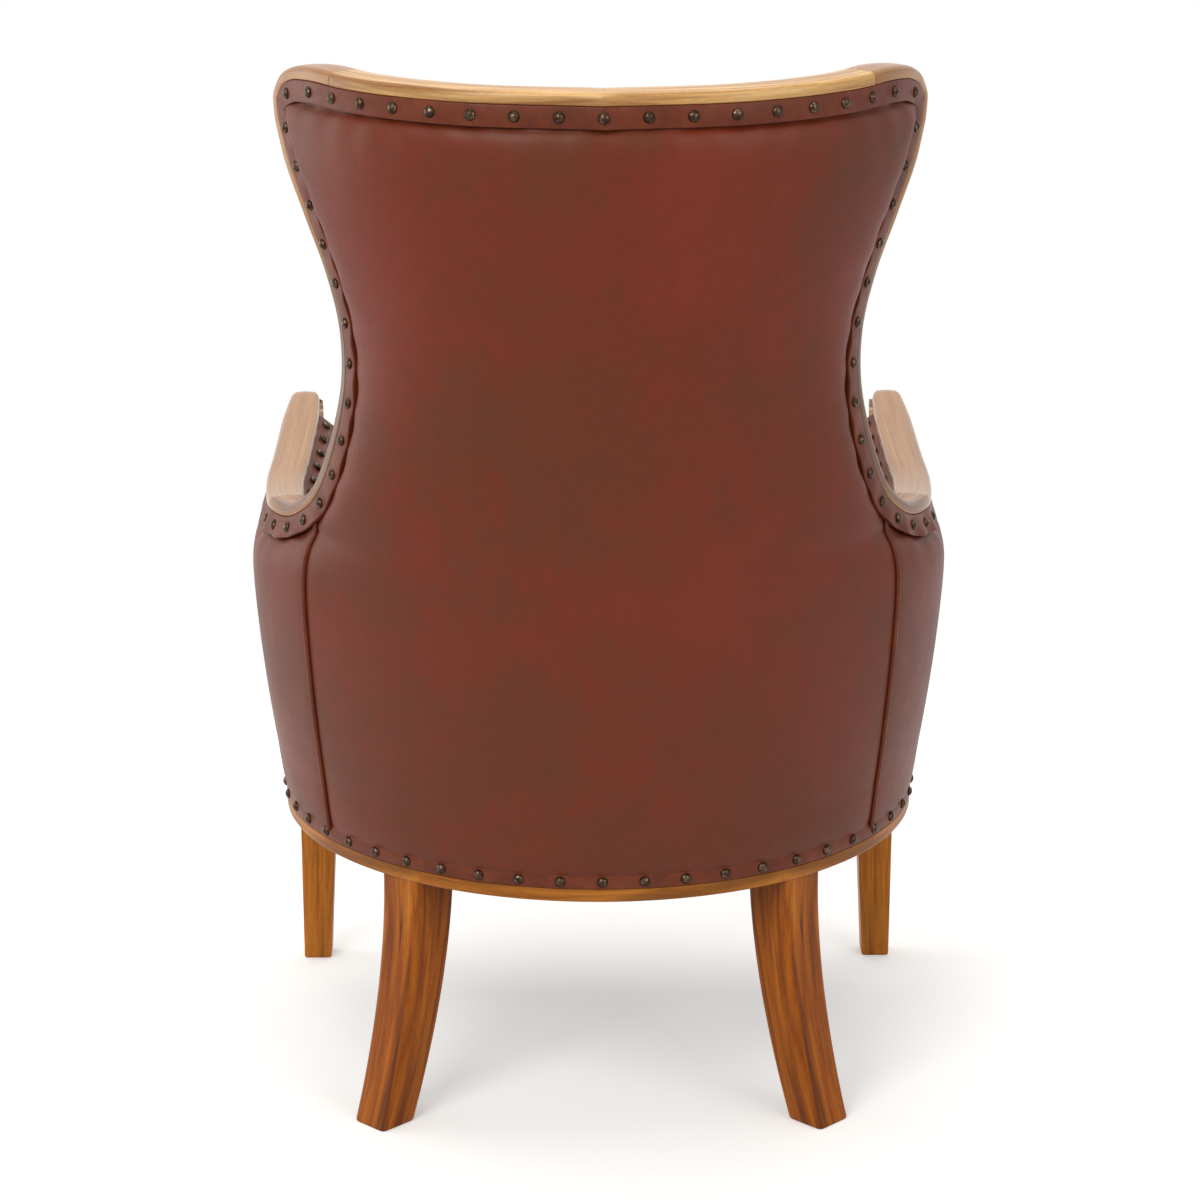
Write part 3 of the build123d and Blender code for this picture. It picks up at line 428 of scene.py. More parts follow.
hideTones = [(0.36, "#592a14"), (0.46, "#5f2811"), (0.54, "#67250f"), (0.64, "#6d2612")]
hide = leatherFinish("anilineHide", hideTones, 0.44, 260.0)
trimHide = leatherFinish("trimHide", evenly(0.32, 0.68, "#4f1f0d", "#602710", "#6e3319"), 0.42, 40.0)
showTeak = woodFinish("oiledTeak", evenly(0.3, 0.75, "#8b5e2c", "#b7884e", "#cba164", "#dcba86"),
                      "#7f4f1e", 0.36, 0.3, grainWide=5.0, figured=1.8)
armTeak = woodFinish("palePolishedTeak", evenly(0.3, 0.75, "#8f6236", "#996a3a", "#a47541", "#ae804c"),
                     "#875c33", 0.36, 0.8)
stileTeak = woodFinish("amberTeak", evenly(0.3, 0.75, "#6a3c12", "#8f5a1f", "#a8702c", "#c08c46"),
                       "#553012", 0.34, 0.4)
legTeak = woodFinish("darkTeak", evenly(0.3, 0.75, "#622e07", "#894508", "#a2590e", "#c17c22"),
                     "#54270a", 0.34, grainWide=12.0, shine=0.16, figured=2.6)
railTeak = woodFinish("lightTeak", evenly(0.3, 0.75, "#703c0f", "#965715", "#af6d22", "#c98e40"),
                      "#55300e", 0.34, grainWide=10.0, shine=0.2)
# front legs: a lighter, yellower copy of the rail teak, painted light that lifts the shade the chair casts on
# them
postTeakPaintedLight = woodFinish("goldenTeakPaintedLight", evenly(0.3, 0.75, "#7f4411", "#ab6318", "#c77c27", "#e0a149"),
                      "#613610", 0.34, grainWide=10.0, shine=0.2)
nailBronze = bronzeFinish("agedBronze")
deckTwill = wovenFinish("deckTwill", "#3a2a22", "#5c4437", 1.6, 0.8)
cambric = wovenFinish("dustCambric", "#141414", "#2b2a29", 1.4, 0.85)
# finishes of the inner parts that stay as the CAD made them, by the slots of the record
innerFinishes = {
    "frame_beech": woodFinish("planedBeech", evenly(0.3, 0.7, "#c79a6a", "#d6ae80", "#e2c199"), "#b98a5c",
                              0.55, coords="Object"),
    "dowel_beech": woodFinish("dowelBeech", evenly(0.3, 0.7, "#c09264", "#cfa678", "#dcb98f"), "#b08256",
                              0.6, coords="Object"),
    "board_ply": woodFinish("birchPly", evenly(0.3, 0.7, "#cdaa7c", "#dcbd92", "#e6cda8"), "#c09c6c",
                            0.6, coords="Object"),
    "screw_steel": steelFinish("platedSteel"),
    "webbing": wovenFinish("juteWebbing", "#6d5233", "#b79663", 3.0, 0.85)}
print("finishes made:", len(bpy.data.materials))

# show wood
woodLine = {
    # left half of the show wood's outer top edge: degrees round the back, height
    "edge": [(0, 1013.5), (25, 1014), (48, 1015), (60, 1016), (67, 1011.5), (72, 1001), (74.6, 984),
             (73.4, 960), (69.8, 930), (67.2, 877), (67.1, 824), (64.7, 772), (60.7, 725), (58.1, 687),
             (57.0, 655), (58.2, 621), (64.5, 594.5), (76, 583), (90, 583)],
    "samples": 520, "earAbove": 900.0, "armBelow": 640.0,
    # the arm stands out of the wall between two angles, and rises to its nose
    "armOut": 5.0, "armOutTurn": (60.0, 78.0), "armStops": (0.3, 0.55, 0.8, 1.02), "noseRise": 34.0,
    "noseCurve": 1.2, "capWide": 37.0, "capShow": 12.0, "tongue": 29.0, "crown": 0.8, "topRound": 9.0,
    "crownRound": 8.0, "lowerRound": 2.5, "stepRound": 0.4, "tongueRound": 0.6, "bandThick": 3.0,
    "bandFoot": 32.0, "nailLine": 22.0, "crestJoint": 52.0, "armJoint": 77.0, "jointEase": 0.7,
    "earTwist": 14.0, "earReach": 75.0, "stileReach": 140.0, "noseRound": 13.0, "noseAcross": 0.2,
    "noseNarrow": 0.24, "noseTaper": 85.0, "taperCurve": 1.6, "tongueFade": 22.0,
    # lean of the bands' free edges round the arm, and the lengths over which it comes
    "outerLean": 7.0, "outerTuck": 9.0, "innerLean": 19.0, "leanRun": 110.0, "tuckTurn": 75.0,
    "tuckRun": 65.0}
bandWide = woodLine["bandFoot"] - woodLine["capShow"]


def edgeLine():
    # the edge on the wall: listed places, then straight forward along the arm, rising to the nose
    w = woodLine
    degrees, z = np.array(w["edge"], float).T
    start = arcCentre(barrel["armTop"])
    share = np.array(w["armStops"])
    side = pointsFrom(barrel["armRadius"] + w["armOut"] * (1 - share),
                      start + (barrel["noseY"] - start) * share,
                      z[-1] + w["noseRise"] * share ** w["noseCurve"])
    low, high = w["armOutTurn"]
    out = w["armOut"] * np.clip((degrees - low) / (high - low), 0, 1) * (z < w["armBelow"])
    return smoothLine(np.concatenate([wall(np.radians(degrees), z, out), side]), w["samples"])


def earAndWaist(turn, z):
    # numbers of the points at the ear, where the line runs furthest round, and at the waist below it
    ear = int(np.argmax(turn * (z > woodLine["earAbove"])))
    return ear, ear + int(np.argmin(turn[ear:]))


plainEdge = edgeLine()
edgeTurn = wallPlace(plainEdge)[0]
heading = unit(np.gradient(plainEdge, axis=0))
nailPath = plainEdge + np.cross(squareTo(heading, wallNormal(edgeTurn)), heading) * woodLine["nailLine"]
# the ears face further to the rear: the section turns about the nail line, most at the corner
earMark = earAndWaist(edgeTurn, plainEdge[:, 2])[0]
fromEar = runLength(plainEdge) - runLength(plainEdge)[earMark]
earShare = np.exp(-(fromEar / np.where(fromEar < 0, woodLine["earReach"], woodLine["stileReach"])) ** 2)
edgeOut = wallNormal(edgeTurn - np.radians(woodLine["earTwist"]) * earShare)
levelOut = squareTo(heading, edgeOut)
edgeAcross = np.cross(levelOut, heading)
edge = nailPath - edgeAcross * woodLine["nailLine"]
edgeRun = runLength(edge)
onArm = edge[:, 2] < woodLine["armBelow"]


def runAt(test):
    # run length at the first point of the edge that passes a test
    return float(edgeRun[np.argmax(test)])


def part(low, high):
    # stretch of the edge line between two run lengths
    s = np.concatenate([[low], edgeRun[(edgeRun > low) & (edgeRun < high)], [high]])
    return along(s, edgeRun, edge), along(s, edgeRun, edgeOut)


def bothSides(*lines):
    # mirrored copies first, so that a line runs from the right side over the middle to the left
    return [np.concatenate([line[:0:-1] * mirrorX, line]) for line in lines]


def capOutline():
    # rounded show wood on top, narrow tongue below it between the two bands
    w = woodLine
    wide, show, thick = w["capWide"], w["capShow"], w["bandThick"]
    corners = [(thick - wide, w["tongue"]), (thick - wide, show), (-wide, show), (-wide, w["crown"]),
               (-wide / 2, -w["crown"]), (0, w["crown"]), (0, show), (-thick, show), (-thick, w["tongue"])]
    half = [w["tongueRound"], w["stepRound"], w["lowerRound"], w["topRound"]]
    return roundedOutline(corners, half + [w["crownRound"]] + half[::-1], 6)


# the bands' free edges lean out of the wall round the rear of the arm; along it the outer one tucks under
armFrom = runAt(onArm)
tuckFrom = runAt(onArm & (edgeTurn > np.radians(woodLine["tuckTurn"])))
armShare = ramp(edgeRun, armFrom, armFrom + woodLine["leanRun"])
armTuck = ramp(edgeRun, tuckFrom, tuckFrom + woodLine["tuckRun"])
outerLean = armShare * woodLine["outerLean"] - armTuck * (woodLine["outerLean"] + woodLine["outerTuck"])
innerLean = armShare * woodLine["innerLean"]
crestRun = float(np.interp(np.radians(woodLine["crestJoint"]), edgeTurn[:earMark], edgeRun[:earMark]))
armRun = runAt(onArm & (edgeTurn > np.radians(woodLine["armJoint"])))
cap, ease = capOutline(), woodLine["jointEase"]
crestGrid, _ = carried(*bothSides(*part(0, crestRun)), cap, ease, ease)
makeBar("crestWood", crestGrid, showTeak, "teak", "crest_rail")
stileGrid, _ = carried(*part(crestRun, armRun), cap, ease, ease)
path, out = part(armRun, float(edgeRun[-1]))
length = runLength(path)
toNose = np.clip(1 - (length[-1] - length) / woodLine["noseTaper"], 0, 1)
narrow = 1 - woodLine["noseNarrow"] * toNose ** woodLine["taperCurve"]
tuckIn = np.minimum(np.interp(armRun + length, edgeRun, outerLean), 0)
armGrid, _ = carried(path, out, cap, ease, woodLine["noseRound"], woodLine["noseAcross"], tuckIn, narrow,
                     woodLine["tongueFade"])
for side, flip in sides:
    makeBar(side + "StileWood", stileGrid * flip, stileTeak, "teak", side + "_stile")
    makeBar(side + "ArmWood", armGrid * flip, armTeak, "teak", side + "_arm")
print("show wood made")

# bands and nails
bandLook = {"edge": 1.3, "proud": 0.7, "crownRound": 6.0, "backRound": 0.2, "woodGap": 0.2,
            "startEase": 0.3, "endEase": 1.2, "pucker": 1.8, "pleat": 1.2, "crestTurn": 69.0, "legGap": 6.0,
            "innerEnd": -274.0, "spacing": 39.5, "crestNails": 9, "crestSpacing": 38.7, "earNail": 361.0,
            "sideStart": 411.0, "sideSpacing": 37.0, "lastNail": 12.0, "innerNailLine": 18.0,
            "nailSeat": 0.42, "innerLift": 1.2, "nailRadius": 5.3, "nailHeight": 3.6, "nailSides": 10,
            # shares of a nail's radius and height, from rim to crown
            "nailProfile": [(1.0, 0.0), (0.93, 0.35), (0.66, 0.72), (0.28, 0.95)]}


def bandOutline(outer, low, high):
    # thin strip with soft edges, a little crowned
    look, way = bandLook, 1 if outer >= 0 else -1
    back, crown = outer - way * woodLine["bandThick"], outer + way * look["proud"]
    corners = [(back, low), (back, high), (outer, high), (crown, (low + high) / 2), (outer, low)]
    return roundedOutline(corners, [look["backRound"]] * 2 + [look["edge"], look["crownRound"], look["edge"]])


def puckered(grid, run, outline, axisOut, outer):
    # the band's free edge puffs up between the nails and is drawn in at each, in deep pleats round the arm
    wave = 0.5 - 0.5 * np.cos(2 * np.pi * np.interp(run, nailRun, np.arange(len(nailRun))))
    share = bandShare(outline) * (np.abs(outline[:, 0] - outer) < 2 * bandLook["proud"])
    height = bandLook["pucker"] * (1 + np.interp(run, edgeRun, armShare) * bandLook["pleat"]) * wave
    return grid + axisOut[:, None] * (height[:, None] * share[None])[..., None]


def nailRow(name, spots, normals, node):
    # all shallow domes of one row in one mesh: rings from rim to crown, a tip, and a face that closes the rim
    share, level = np.array(bandLook["nailProfile"]).T[:, None, :, None, None]
    around = np.linspace(0, 2 * np.pi, bandLook["nailSides"], endpoint=False)[:, None]
    up = unit(normals)[:, None, None]
    # any direction that no nail points along gives the ring its axes
    x = unit(np.cross(up, np.array([0.13, 0.21, 0.97])))
    ring = x * np.cos(around) + np.cross(up, x) * np.sin(around)
    rings = spots[:, None, None] + bandLook["nailRadius"] * share * ring + up * level * bandLook["nailHeight"]
    count, levels, sections = rings.shape[:3]
    tips = spots + up[:, 0, 0] * bandLook["nailHeight"]
    points = np.concatenate([rings.reshape(count, -1, 3), tips[:, None]], axis=1)
    index = np.arange(levels * sections).reshape(levels, sections)
    after = np.roll(index, -1, axis=1)
    quads = np.stack([index[:-1], after[:-1], after[1:], index[1:]], axis=-1).reshape(-1, 4)
    top = np.stack([index[-1], after[-1], np.full(sections, levels * sections)], axis=-1)
    base = np.arange(count)[:, None, None] * points.shape[1]
    kinds = (quads, top, index[:1, ::-1])
    faces = [face for kind in kinds for face in (kind + base).reshape(-1, kind.shape[1]).tolist()]
    mesh = bpy.data.meshes.new(name)
    mesh.from_pydata(points.reshape(-1, 3) * mm, [], faces)
    smooth = np.arange(len(faces)) < len(faces) - count
    return dress(name, mesh, smooth, nailBronze, "frame", [node])


bandEnd = runAt(onArm & (edge[:, 1] < barrel["legRearY"] + bandLook["legGap"]))
innerEnd = runAt(onArm & (edge[:, 1] < bandLook["innerEnd"]))
crestEnd = runAt(edgeTurn > np.radians(bandLook["crestTurn"]))
# nails at even steps along the middle of the band, the crest's from its middle, the side's from the ear
nailLength = runLength(nailPath)
marks = np.concatenate([np.arange(bandLook["crestNails"]) * bandLook["crestSpacing"], [bandLook["earNail"]],
                        np.arange(bandLook["sideStart"], nailLength[-1], bandLook["sideSpacing"])])
nailRun = np.interp(marks, nailLength, edgeRun)
onCrest = np.arange(len(marks)) <= bandLook["crestNails"]
innerSeat = bandLook["nailSeat"] + bandLook["innerLift"]
for layer, outer, sign, lean, lastRun, down, lift in (
        ("Outer", 0.0, 1, outerLean, bandEnd, woodLine["nailLine"], bandLook["nailSeat"]),
        ("Inner", -woodLine["capWide"], -1, -innerLean, innerEnd, bandLook["innerNailLine"], innerSeat)):
    node = "_" + layer.lower()
    strip = bandOutline(outer, woodLine["capShow"] + bandLook["woodGap"], woodLine["bandFoot"])
    grid, _ = carried(*bothSides(*part(0, crestEnd)), strip)
    makeBar("crest" + layer + "Band", grid, trimHide, "trim_leather", "crest" + node + "_band")
    path, out = part(crestEnd, lastRun)
    length = runLength(path)
    grid, s = carried(path, out, strip, bandLook["startEase"], bandLook["endEase"],
                      lean=np.interp(crestEnd + length, edgeRun, lean))
    grid = puckered(grid, crestEnd + s, strip, along(s, length, out) * sign, outer)
    # nails sit on the leaning band, at their depth below the edge
    leanShare = (down - woodLine["capShow"]) / bandWide
    line = edge + levelOut * (outer + lean * leanShare)[:, None] + edgeAcross * down
    tilt = unit(levelOut * sign - edgeAcross * (lean * sign / bandWide)[:, None])
    normals = along(nailRun, edgeRun, tilt)
    spots = along(nailRun, edgeRun, line) + normals * lift
    overCrest = bothSides(spots[onCrest], normals[onCrest])
    nailRow("crest" + layer + "Nails", *overCrest, "crest" + node + "_nails")
    onSide = ~onCrest & (nailRun < lastRun - bandLook["lastNail"])
    for side, flip in sides:
        makeBar(side + layer + "Band", grid * flip, trimHide, "trim_leather", side + node + "_band")
        nailRow(side + layer + "Nails", spots[onSide] * flip, normals[onSide] * flip, side + node + "_nails")
print("bands and nails made")

# rails and legs
frameWood = {"railHigh": 70.0, "railThick": 42.0, "railShow": 13.0, "frontThick": 30.0, "legTurn": 33.0,
             "bandInset": 3.2, "railRounds": [0.5, 0.5, 0.3, 0.8, 3.5, 2.5], "rearEase": 0.6,
             "postEase": 0.3, "rearX": 175.0, "rearTop": 50.5, "rearFoot": 42.0, "splay": 35.0,
             "sweep": 1.8, "rearRound": 5.0, "frontTop": 42.0, "frontFoot": 29.0, "frontRound": 4.0,
             "postHigh": 598.0, "postFull": 609.0, "postOut": 3.0, "postThin": 14.0, "footRound": 2.0,
             "footDraw": 0.4, "footSteps": [0, 0.4, 1.2]}
baseLook = {"low": 257.0, "high": 272.0, "frontNails": 6, "frontSeat": 0.4, "lastNail": 7.0}
railTop = barrel["railTop"]
forward = np.array([0.0, -1.0, 0.0])


def railOutline(thick):
    # bare strip with an eased lower edge; set back above it for the band and the leather
    f = frameWood
    high, back = f["railHigh"], -f["bandInset"]
    step = high - f["railShow"]
    corners = [(-thick, 0), (back, 0), (back, step), (0, step), (0, high), (-thick, high)]
    return roundedOutline(corners, f["railRounds"])


def legHeights(count, above):
    # close levels at the rounded foot, even ones up to the rail, then those above it; the share dropped
    # below the rail and how far the foot's edge is drawn in
    f, rail = frameWood, barrel["railBottom"]
    z = np.concatenate([f["footSteps"], np.linspace(3, rail, count), above])[:, None]
    return z, np.clip(1 - z / rail, 0, 1), np.clip(f["footRound"] - z, 0, None) ** 2 * f["footDraw"]


def rearLeg():
    # rounded square set corner to the rear; its middle swings back and out as the power of the drop
    f = frameWood
    z, drop, draw = legHeights(60, [250, 300])
    size = f["rearTop"] + (f["rearFoot"] - f["rearTop"]) * drop
    shift = f["splay"] * drop ** f["sweep"]
    y = barrel["centreY"] + np.sqrt(barrel["railRadius"] ** 2 - f["rearX"] ** 2) - f["rearTop"] * np.sqrt(0.5)
    x1, y1 = roundedOutline([(1, 0), (0, 1), (-1, 0), (0, -1)], 2 * f["rearRound"] / f["rearTop"], 7).T
    reach = (size - 2 * draw) * np.sqrt(0.5)
    return pointsFrom(f["rearX"] + shift + reach * x1, y + shift + reach * y1, z)


def frontLeg():
    # straight outer and front faces, the inner and rear faces taper below the rail; above it the post
    f = frameWood
    z, drop, draw = legHeights(40, np.linspace(250, f["postHigh"], 30))
    up = np.clip((z - railTop) / (f["postFull"] - railTop), 0, 1)
    size = f["frontTop"] + (f["frontFoot"] - f["frontTop"]) * drop
    outer = barrel["railRadius"] + f["postOut"] * up - draw
    inner = barrel["railRadius"] - size + f["postThin"] * up + draw
    front, rear = barrel["frontY"] + draw, barrel["frontY"] + size - draw
    x1, y1 = roundedOutline([(1, 1), (0, 1), (0, 0), (1, 0)], f["frontRound"] / f["frontTop"], 6).T
    return pointsFrom(inner + (outer - inner) * x1, front + (rear - front) * y1, z)


sideEnd = float(sideRun(barrel["legRearY"], railTop))
legTurn = np.radians(frameWood["legTurn"])
sideRail = railOutline(frameWood["railThick"])
rearEase, postEase = frameWood["rearEase"], frameWood["postEase"]
turn = np.linspace(-legTurn, legTurn, 60)
grid, _ = carried(wall(turn, railTop, 0), wallNormal(turn), sideRail, rearEase, rearEase)
makeBar("rearRailWood", grid, railTeak, "teak", "rear_seat_rail")
turn = np.linspace(legTurn, sideEnd, 80)
sideGrid, _ = carried(wall(turn, railTop, 0), wallNormal(turn), sideRail, rearEase, postEase)
frontX = barrel["railRadius"] - frameWood["frontTop"]
x = np.linspace(frontX, -frontX, 40)
frontPath = pointsFrom(x, barrel["frontY"], railTop)
frontOut = np.tile(forward, (len(x), 1))
grid, _ = carried(frontPath, frontOut, railOutline(frameWood["frontThick"]), postEase, postEase)
makeBar("frontRailWood", grid, railTeak, "teak", "front_seat_rail")
for side, flip in sides:
    makeBar(side + "SideRailWood", sideGrid * flip, railTeak, "teak", side + "_seat_rail")
    makeBar(side + "RearLegWood", rearLeg() * flip, legTeak, "teak", side + "_rear_leg")
    makeBar(side + "FrontLegWood", frontLeg() * flip, postTeakPaintedLight, "teak", side + "_front_leg")

turn = np.linspace(-sideEnd, sideEnd, 260)
strip = bandOutline(0.0, railTop - baseLook["high"], railTop - baseLook["low"] - bandLook["woodGap"])
grid, _ = carried(wall(turn, railTop, 0), wallNormal(turn), strip)
makeBar("baseBand", grid, trimHide, "trim_leather", "base_band")
grid, _ = carried(frontPath, frontOut, strip)
makeBar("frontBaseBand", grid, trimHide, "trim_leather", "front_base_band")
nailZ = (baseLook["low"] + baseLook["high"]) / 2
step = bandLook["spacing"] / barrel["railRadius"]
count = int((sideEnd - baseLook["lastNail"] / barrel["railRadius"]) / step)
turn = np.arange(-count, count + 1) * step
nailRow("baseNails", wall(turn, nailZ, bandLook["nailSeat"]), wallNormal(turn), "base_nails")
x = np.arange(-baseLook["frontNails"], baseLook["frontNails"] + 1) * bandLook["spacing"]
spots = pointsFrom(x, barrel["frontY"] - baseLook["frontSeat"], nailZ)
nailRow("frontNails", spots, np.tile(forward, (len(x), 1)), "front_nails")
print("rails, legs and base band made")

# outside leather
outside = {"back": 7.5, "low": 268.0, "top": 981.0, "panelTop": (560.0, 640.0), "skin": 2.0,
           "underBand": 1.0, "belly": 23.0, "bellyLow": 258.0, "bellyHigh": 575.0, "bellyFoot": 2.2,
           "bellyTop": 16, "weltTurn": 56.0, "weltShare": 0.8, "weltRadius": 2.6, "weltSink": 0.6,
           "weltGap": 0.004, "weltClear": 8.0, "weltDip": 2.2, "weltReach": 6.0, "weltPower": 5,
           "crowd": 1.25, "hidden": 6.0, "hiddenPower": 31, "sideReach": 13.0, "topReach": 12.0,
           "footReach": 16.0, "edgeReach": 9.0, "tuck": 1.5, "tuckReach": 7.0, "pull": 0.8, "pullTop": 20.0,
           "pullSide": 17.0, "groove": 2.4, "grooveWide": 3.0, "grooveLow": 40.0, "earRise": 2.5,
           "earFrom": (860.0, 960.0), "earReach": 30.0}
armPanel = {"gap": 0.006, "fine": 0.16, "bellyFull": 76.0, "postKeep": 0.12, "postReach": 16.0,
            "leanReach": 30.0, "leanIn": 1.0, "leanDeep": 14.0, "pullReach": 18.0}


def belly(z):
    # swell of the side padding: quick at the foot, held up to the arm, closed under the band
    o = outside
    t = np.clip((z - o["bellyLow"]) / (o["bellyHigh"] - o["bellyLow"]), 0, 1)
    return o["belly"] * (1 - (1 - t) ** o["bellyFoot"]) * (1 - t ** o["bellyTop"])


def footLine(offset):
    # where a panel's edge lies on the wall, just under a band's foot: run and height along the left half
    depth = woodLine["bandFoot"] - outside["underBand"]
    return wallPlace(edge + levelOut * offset + edgeAcross * depth)


def crowded(count, power):
    # shares from -1 to 1, closer together at both ends
    u = np.linspace(-1, 1, count)[None]
    return np.sign(u) * (1 - (1 - np.abs(u)) ** power)


def nailPulls(run, spacing):
    # the leather is drawn in at each nail
    return outside["pull"] * np.cos(2 * np.pi * run / spacing)


outA, outZ = footLine(-outside["underBand"])
outEar, outWaist = earAndWaist(outA, outZ)
weltTurn = np.radians(outside["weltTurn"])
weltMark = outWaist + int(np.argmax(outA[outWaist:] > weltTurn))
weltTop = float(outZ[weltMark])


def outsideBack():
    # wall raised by a shallow pad; its sides follow the stile bands above and the welts below
    o = outside
    z = np.concatenate([np.linspace(o["low"], 300, 12), np.linspace(304, 940, 120),
                        np.linspace(944, o["top"], 14), o["top"] + np.array([2.0, o["hidden"]])])[:, None]
    limit = np.interp(z, outZ[outEar:weltMark + 1][::-1], outA[outEar:weltMark + 1][::-1])
    limit = np.where(z > weltTop + o["weltClear"], limit, np.minimum(limit, weltTurn - o["weltGap"]))
    u = crowded(181, o["crowd"])
    radius = barrelRadius(z)
    a = limit * u + o["hidden"] / radius * ramp(z, weltTop, weltTop + 20) * u ** o["hiddenPower"]
    side, top, foot = (limit - np.abs(a)) * radius, o["top"] - z, z - o["low"]
    low = 1 - ramp(z, *o["panelTop"])
    sideEdge = low + (1 - low) * soft(side, o["sideReach"])
    rim = o["back"] * soft(top, o["topReach"]) * soft(foot, o["footReach"])
    out = rim * sideEdge + low * (o["weltShare"] * belly(z) - rim) * np.abs(u) ** o["weltPower"]
    closed = sideEdge * soft(top, o["edgeReach"]) * soft(foot, o["tuckReach"])
    out = out - o["weltDip"] * low * np.exp(-side / o["weltReach"]) - o["tuck"] * (1 - closed)
    out = out - nailPulls(a * radius, bandLook["spacing"]) * np.exp(-top / o["pullTop"])
    out = out + nailPulls(z, bandLook["sideSpacing"]) * np.exp(-side / o["pullSide"]) * (1 - low)
    rimGap = np.clip(np.minimum(side + o["grooveLow"] * low, top), 0, None)
    out = out - o["groove"] * np.exp(-rimGap / o["grooveWide"])
    nearEar = ramp(z, *o["earFrom"]) * np.exp(-np.clip(side, 0, None) / o["earReach"])
    return wall(a, z, out + o["earRise"] * nearEar * soft(top, o["edgeReach"]))


def toPost(a, first, last, y, low, lineA, lineZ, t):
    # runs stretched to an upright post at y, which the leaning wall meets further on with the height, and
    # heights from low to a band's foot line by the share t; also the run's end and the foot line's height
    z = low + (np.interp(a, lineA, lineZ) - low) * t
    end = sideRun(y, z)
    a = first + (a - first) * (end - first) / (last - first)
    top = np.interp(a, lineA, lineZ)
    return a, low + (top - low) * t, end, top


def outsideArm():
    # wall raised by the belly from the welt to the front post, its top under the arm's band
    o, p, radius = outside, armPanel, barrel["armRadius"]
    fine = weltTurn + p["fine"]
    lineA, lineZ = outA[weltMark:], outZ[weltMark:]
    a = np.concatenate([np.linspace(weltTurn + p["gap"], fine, 26), np.linspace(fine + 0.01, sideEnd, 96)])
    a, z, last, top = toPost(a[:, None], weltTurn, sideEnd, barrel["legRearY"], o["low"], lineA, lineZ,
                             np.linspace(0, 1, 100)[None])
    start, end, under = (a - weltTurn) * radius, (last - a) * radius, top - z
    share = o["weltShare"] + (1 - o["weltShare"]) * ramp(a, weltTurn, np.radians(p["bellyFull"]))
    atPost = p["postKeep"] + (1 - p["postKeep"]) * soft(end, p["postReach"])
    out = belly(z) * share * soft(under, o["edgeReach"]) * atPost
    footOut = np.interp(a, lineA, outerLean[weltMark:]) * soft(end, p["leanReach"])
    out = out + (footOut - p["leanIn"]) * np.exp(-under / p["leanDeep"])
    closed = soft(under, o["tuckReach"]) * soft(z - o["low"], o["tuckReach"])
    out = out - o["weltDip"] * np.exp(-start / o["weltReach"]) - o["tuck"] * (1 - closed)
    return wall(a, z, out + nailPulls(a * radius, bandLook["spacing"]) * np.exp(-under / p["pullReach"]))


piece = makePiece("outsideBackLeather", outsideBack(), hide, ["outside_back"], facing=fromWall(1))
thicken(piece, outside["skin"])
armGrid = outsideArm()
z = np.linspace(outside["low"], weltTop + 4, 70)
weltOut = outside["weltShare"] * belly(z) * soft(weltTop + 6 - z, outside["edgeReach"]) - outside["weltSink"]
circle = np.linspace(0, 2 * np.pi, 12, endpoint=False)
cordOutline = np.stack([np.cos(circle), np.sin(circle)], axis=-1)
weltGrid, _ = carried(wall(weltTurn, z, weltOut), np.tile(wallNormal(weltTurn), (len(z), 1)),
                      cordOutline * outside["weltRadius"])
for side, flip in sides:
    piece = makePiece(side + "OutsideArmLeather", armGrid * flip, hide, [side + "_outside_arm"],
                      facing=fromWall(1))
    thicken(piece, outside["skin"])
    makeBar(side + "Welt", weltGrid * flip, trimHide, "trim_leather", side + "_welt")
print("outside leather made")

# inside leather
inside = {"low": 343.0, "top": 980.0, "frame": 35.0, "seam": 30.0, "skin": 2.0, "hidden": 6.0,
          "hiddenPower": 31,
          # depth of the back's pad over its height, as shares and millimetres
          "crown": [(0.0, 50.0), (0.22, 58.0), (0.41, 52.0), (0.6, 46.0), (0.74, 46.0), (0.86, 44.0),
                    (0.96, 34.0), (1.0, 16.0)],
          "padMiddle": 60.0, "crowd": 1.3, "sideReach": 15.0, "seamReach": 20.0, "topReach": 13.0}
armPad = {"front": -286.0, "level": 450.0, "gap": 0.012, "fineStart": 0.2, "fineEnd": 0.1,
          "depth": (28.0, 48.0, 64.0), "topReach": 11.0, "seamRadius": 260.0, "seamReach": 14.0,
          "postIn": 8.0, "postGap": 0.06, "leanReach": 60.0, "endReach": 9.0}
inA, inZ = footLine(outside["underBand"] - woodLine["capWide"])
inEar, inWaist = earAndWaist(inA, inZ)
seamTurn = float(inA[inWaist])
seamTop = float(np.interp(seamTurn + armPad["gap"], inA[inWaist:], inZ[inWaist:]))


def insideBack():
    # wall lowered towards the sitter by the pad's crown, rolled in under the bands and at the side seams
    i = inside
    z = np.concatenate([np.linspace(i["low"], 930, 110), np.linspace(934, i["top"], 16),
                        [i["top"] + i["hidden"]]])[:, None]
    limit = np.interp(z, inZ[inEar:inWaist + 1][::-1], inA[inEar:inWaist + 1][::-1])
    u = crowded(141, i["crowd"])
    radius = barrelRadius(z)
    a = limit * u + i["hidden"] / radius * u ** i["hiddenPower"] * ramp(z, seamTop - 10, seamTop + 10)
    crown = np.interp((z - i["low"]) / (i["top"] - i["low"]), *np.transpose(i["crown"]))
    side = (limit - np.abs(a)) * (radius - i["padMiddle"])
    edgeDepth = i["seam"] * soft(seamTop - z, i["seamReach"])
    depth = edgeDepth + (crown - edgeDepth) * soft(side, i["sideReach"])
    return wall(a, z, -i["frame"] - depth * soft(i["top"] - z, i["topReach"]))


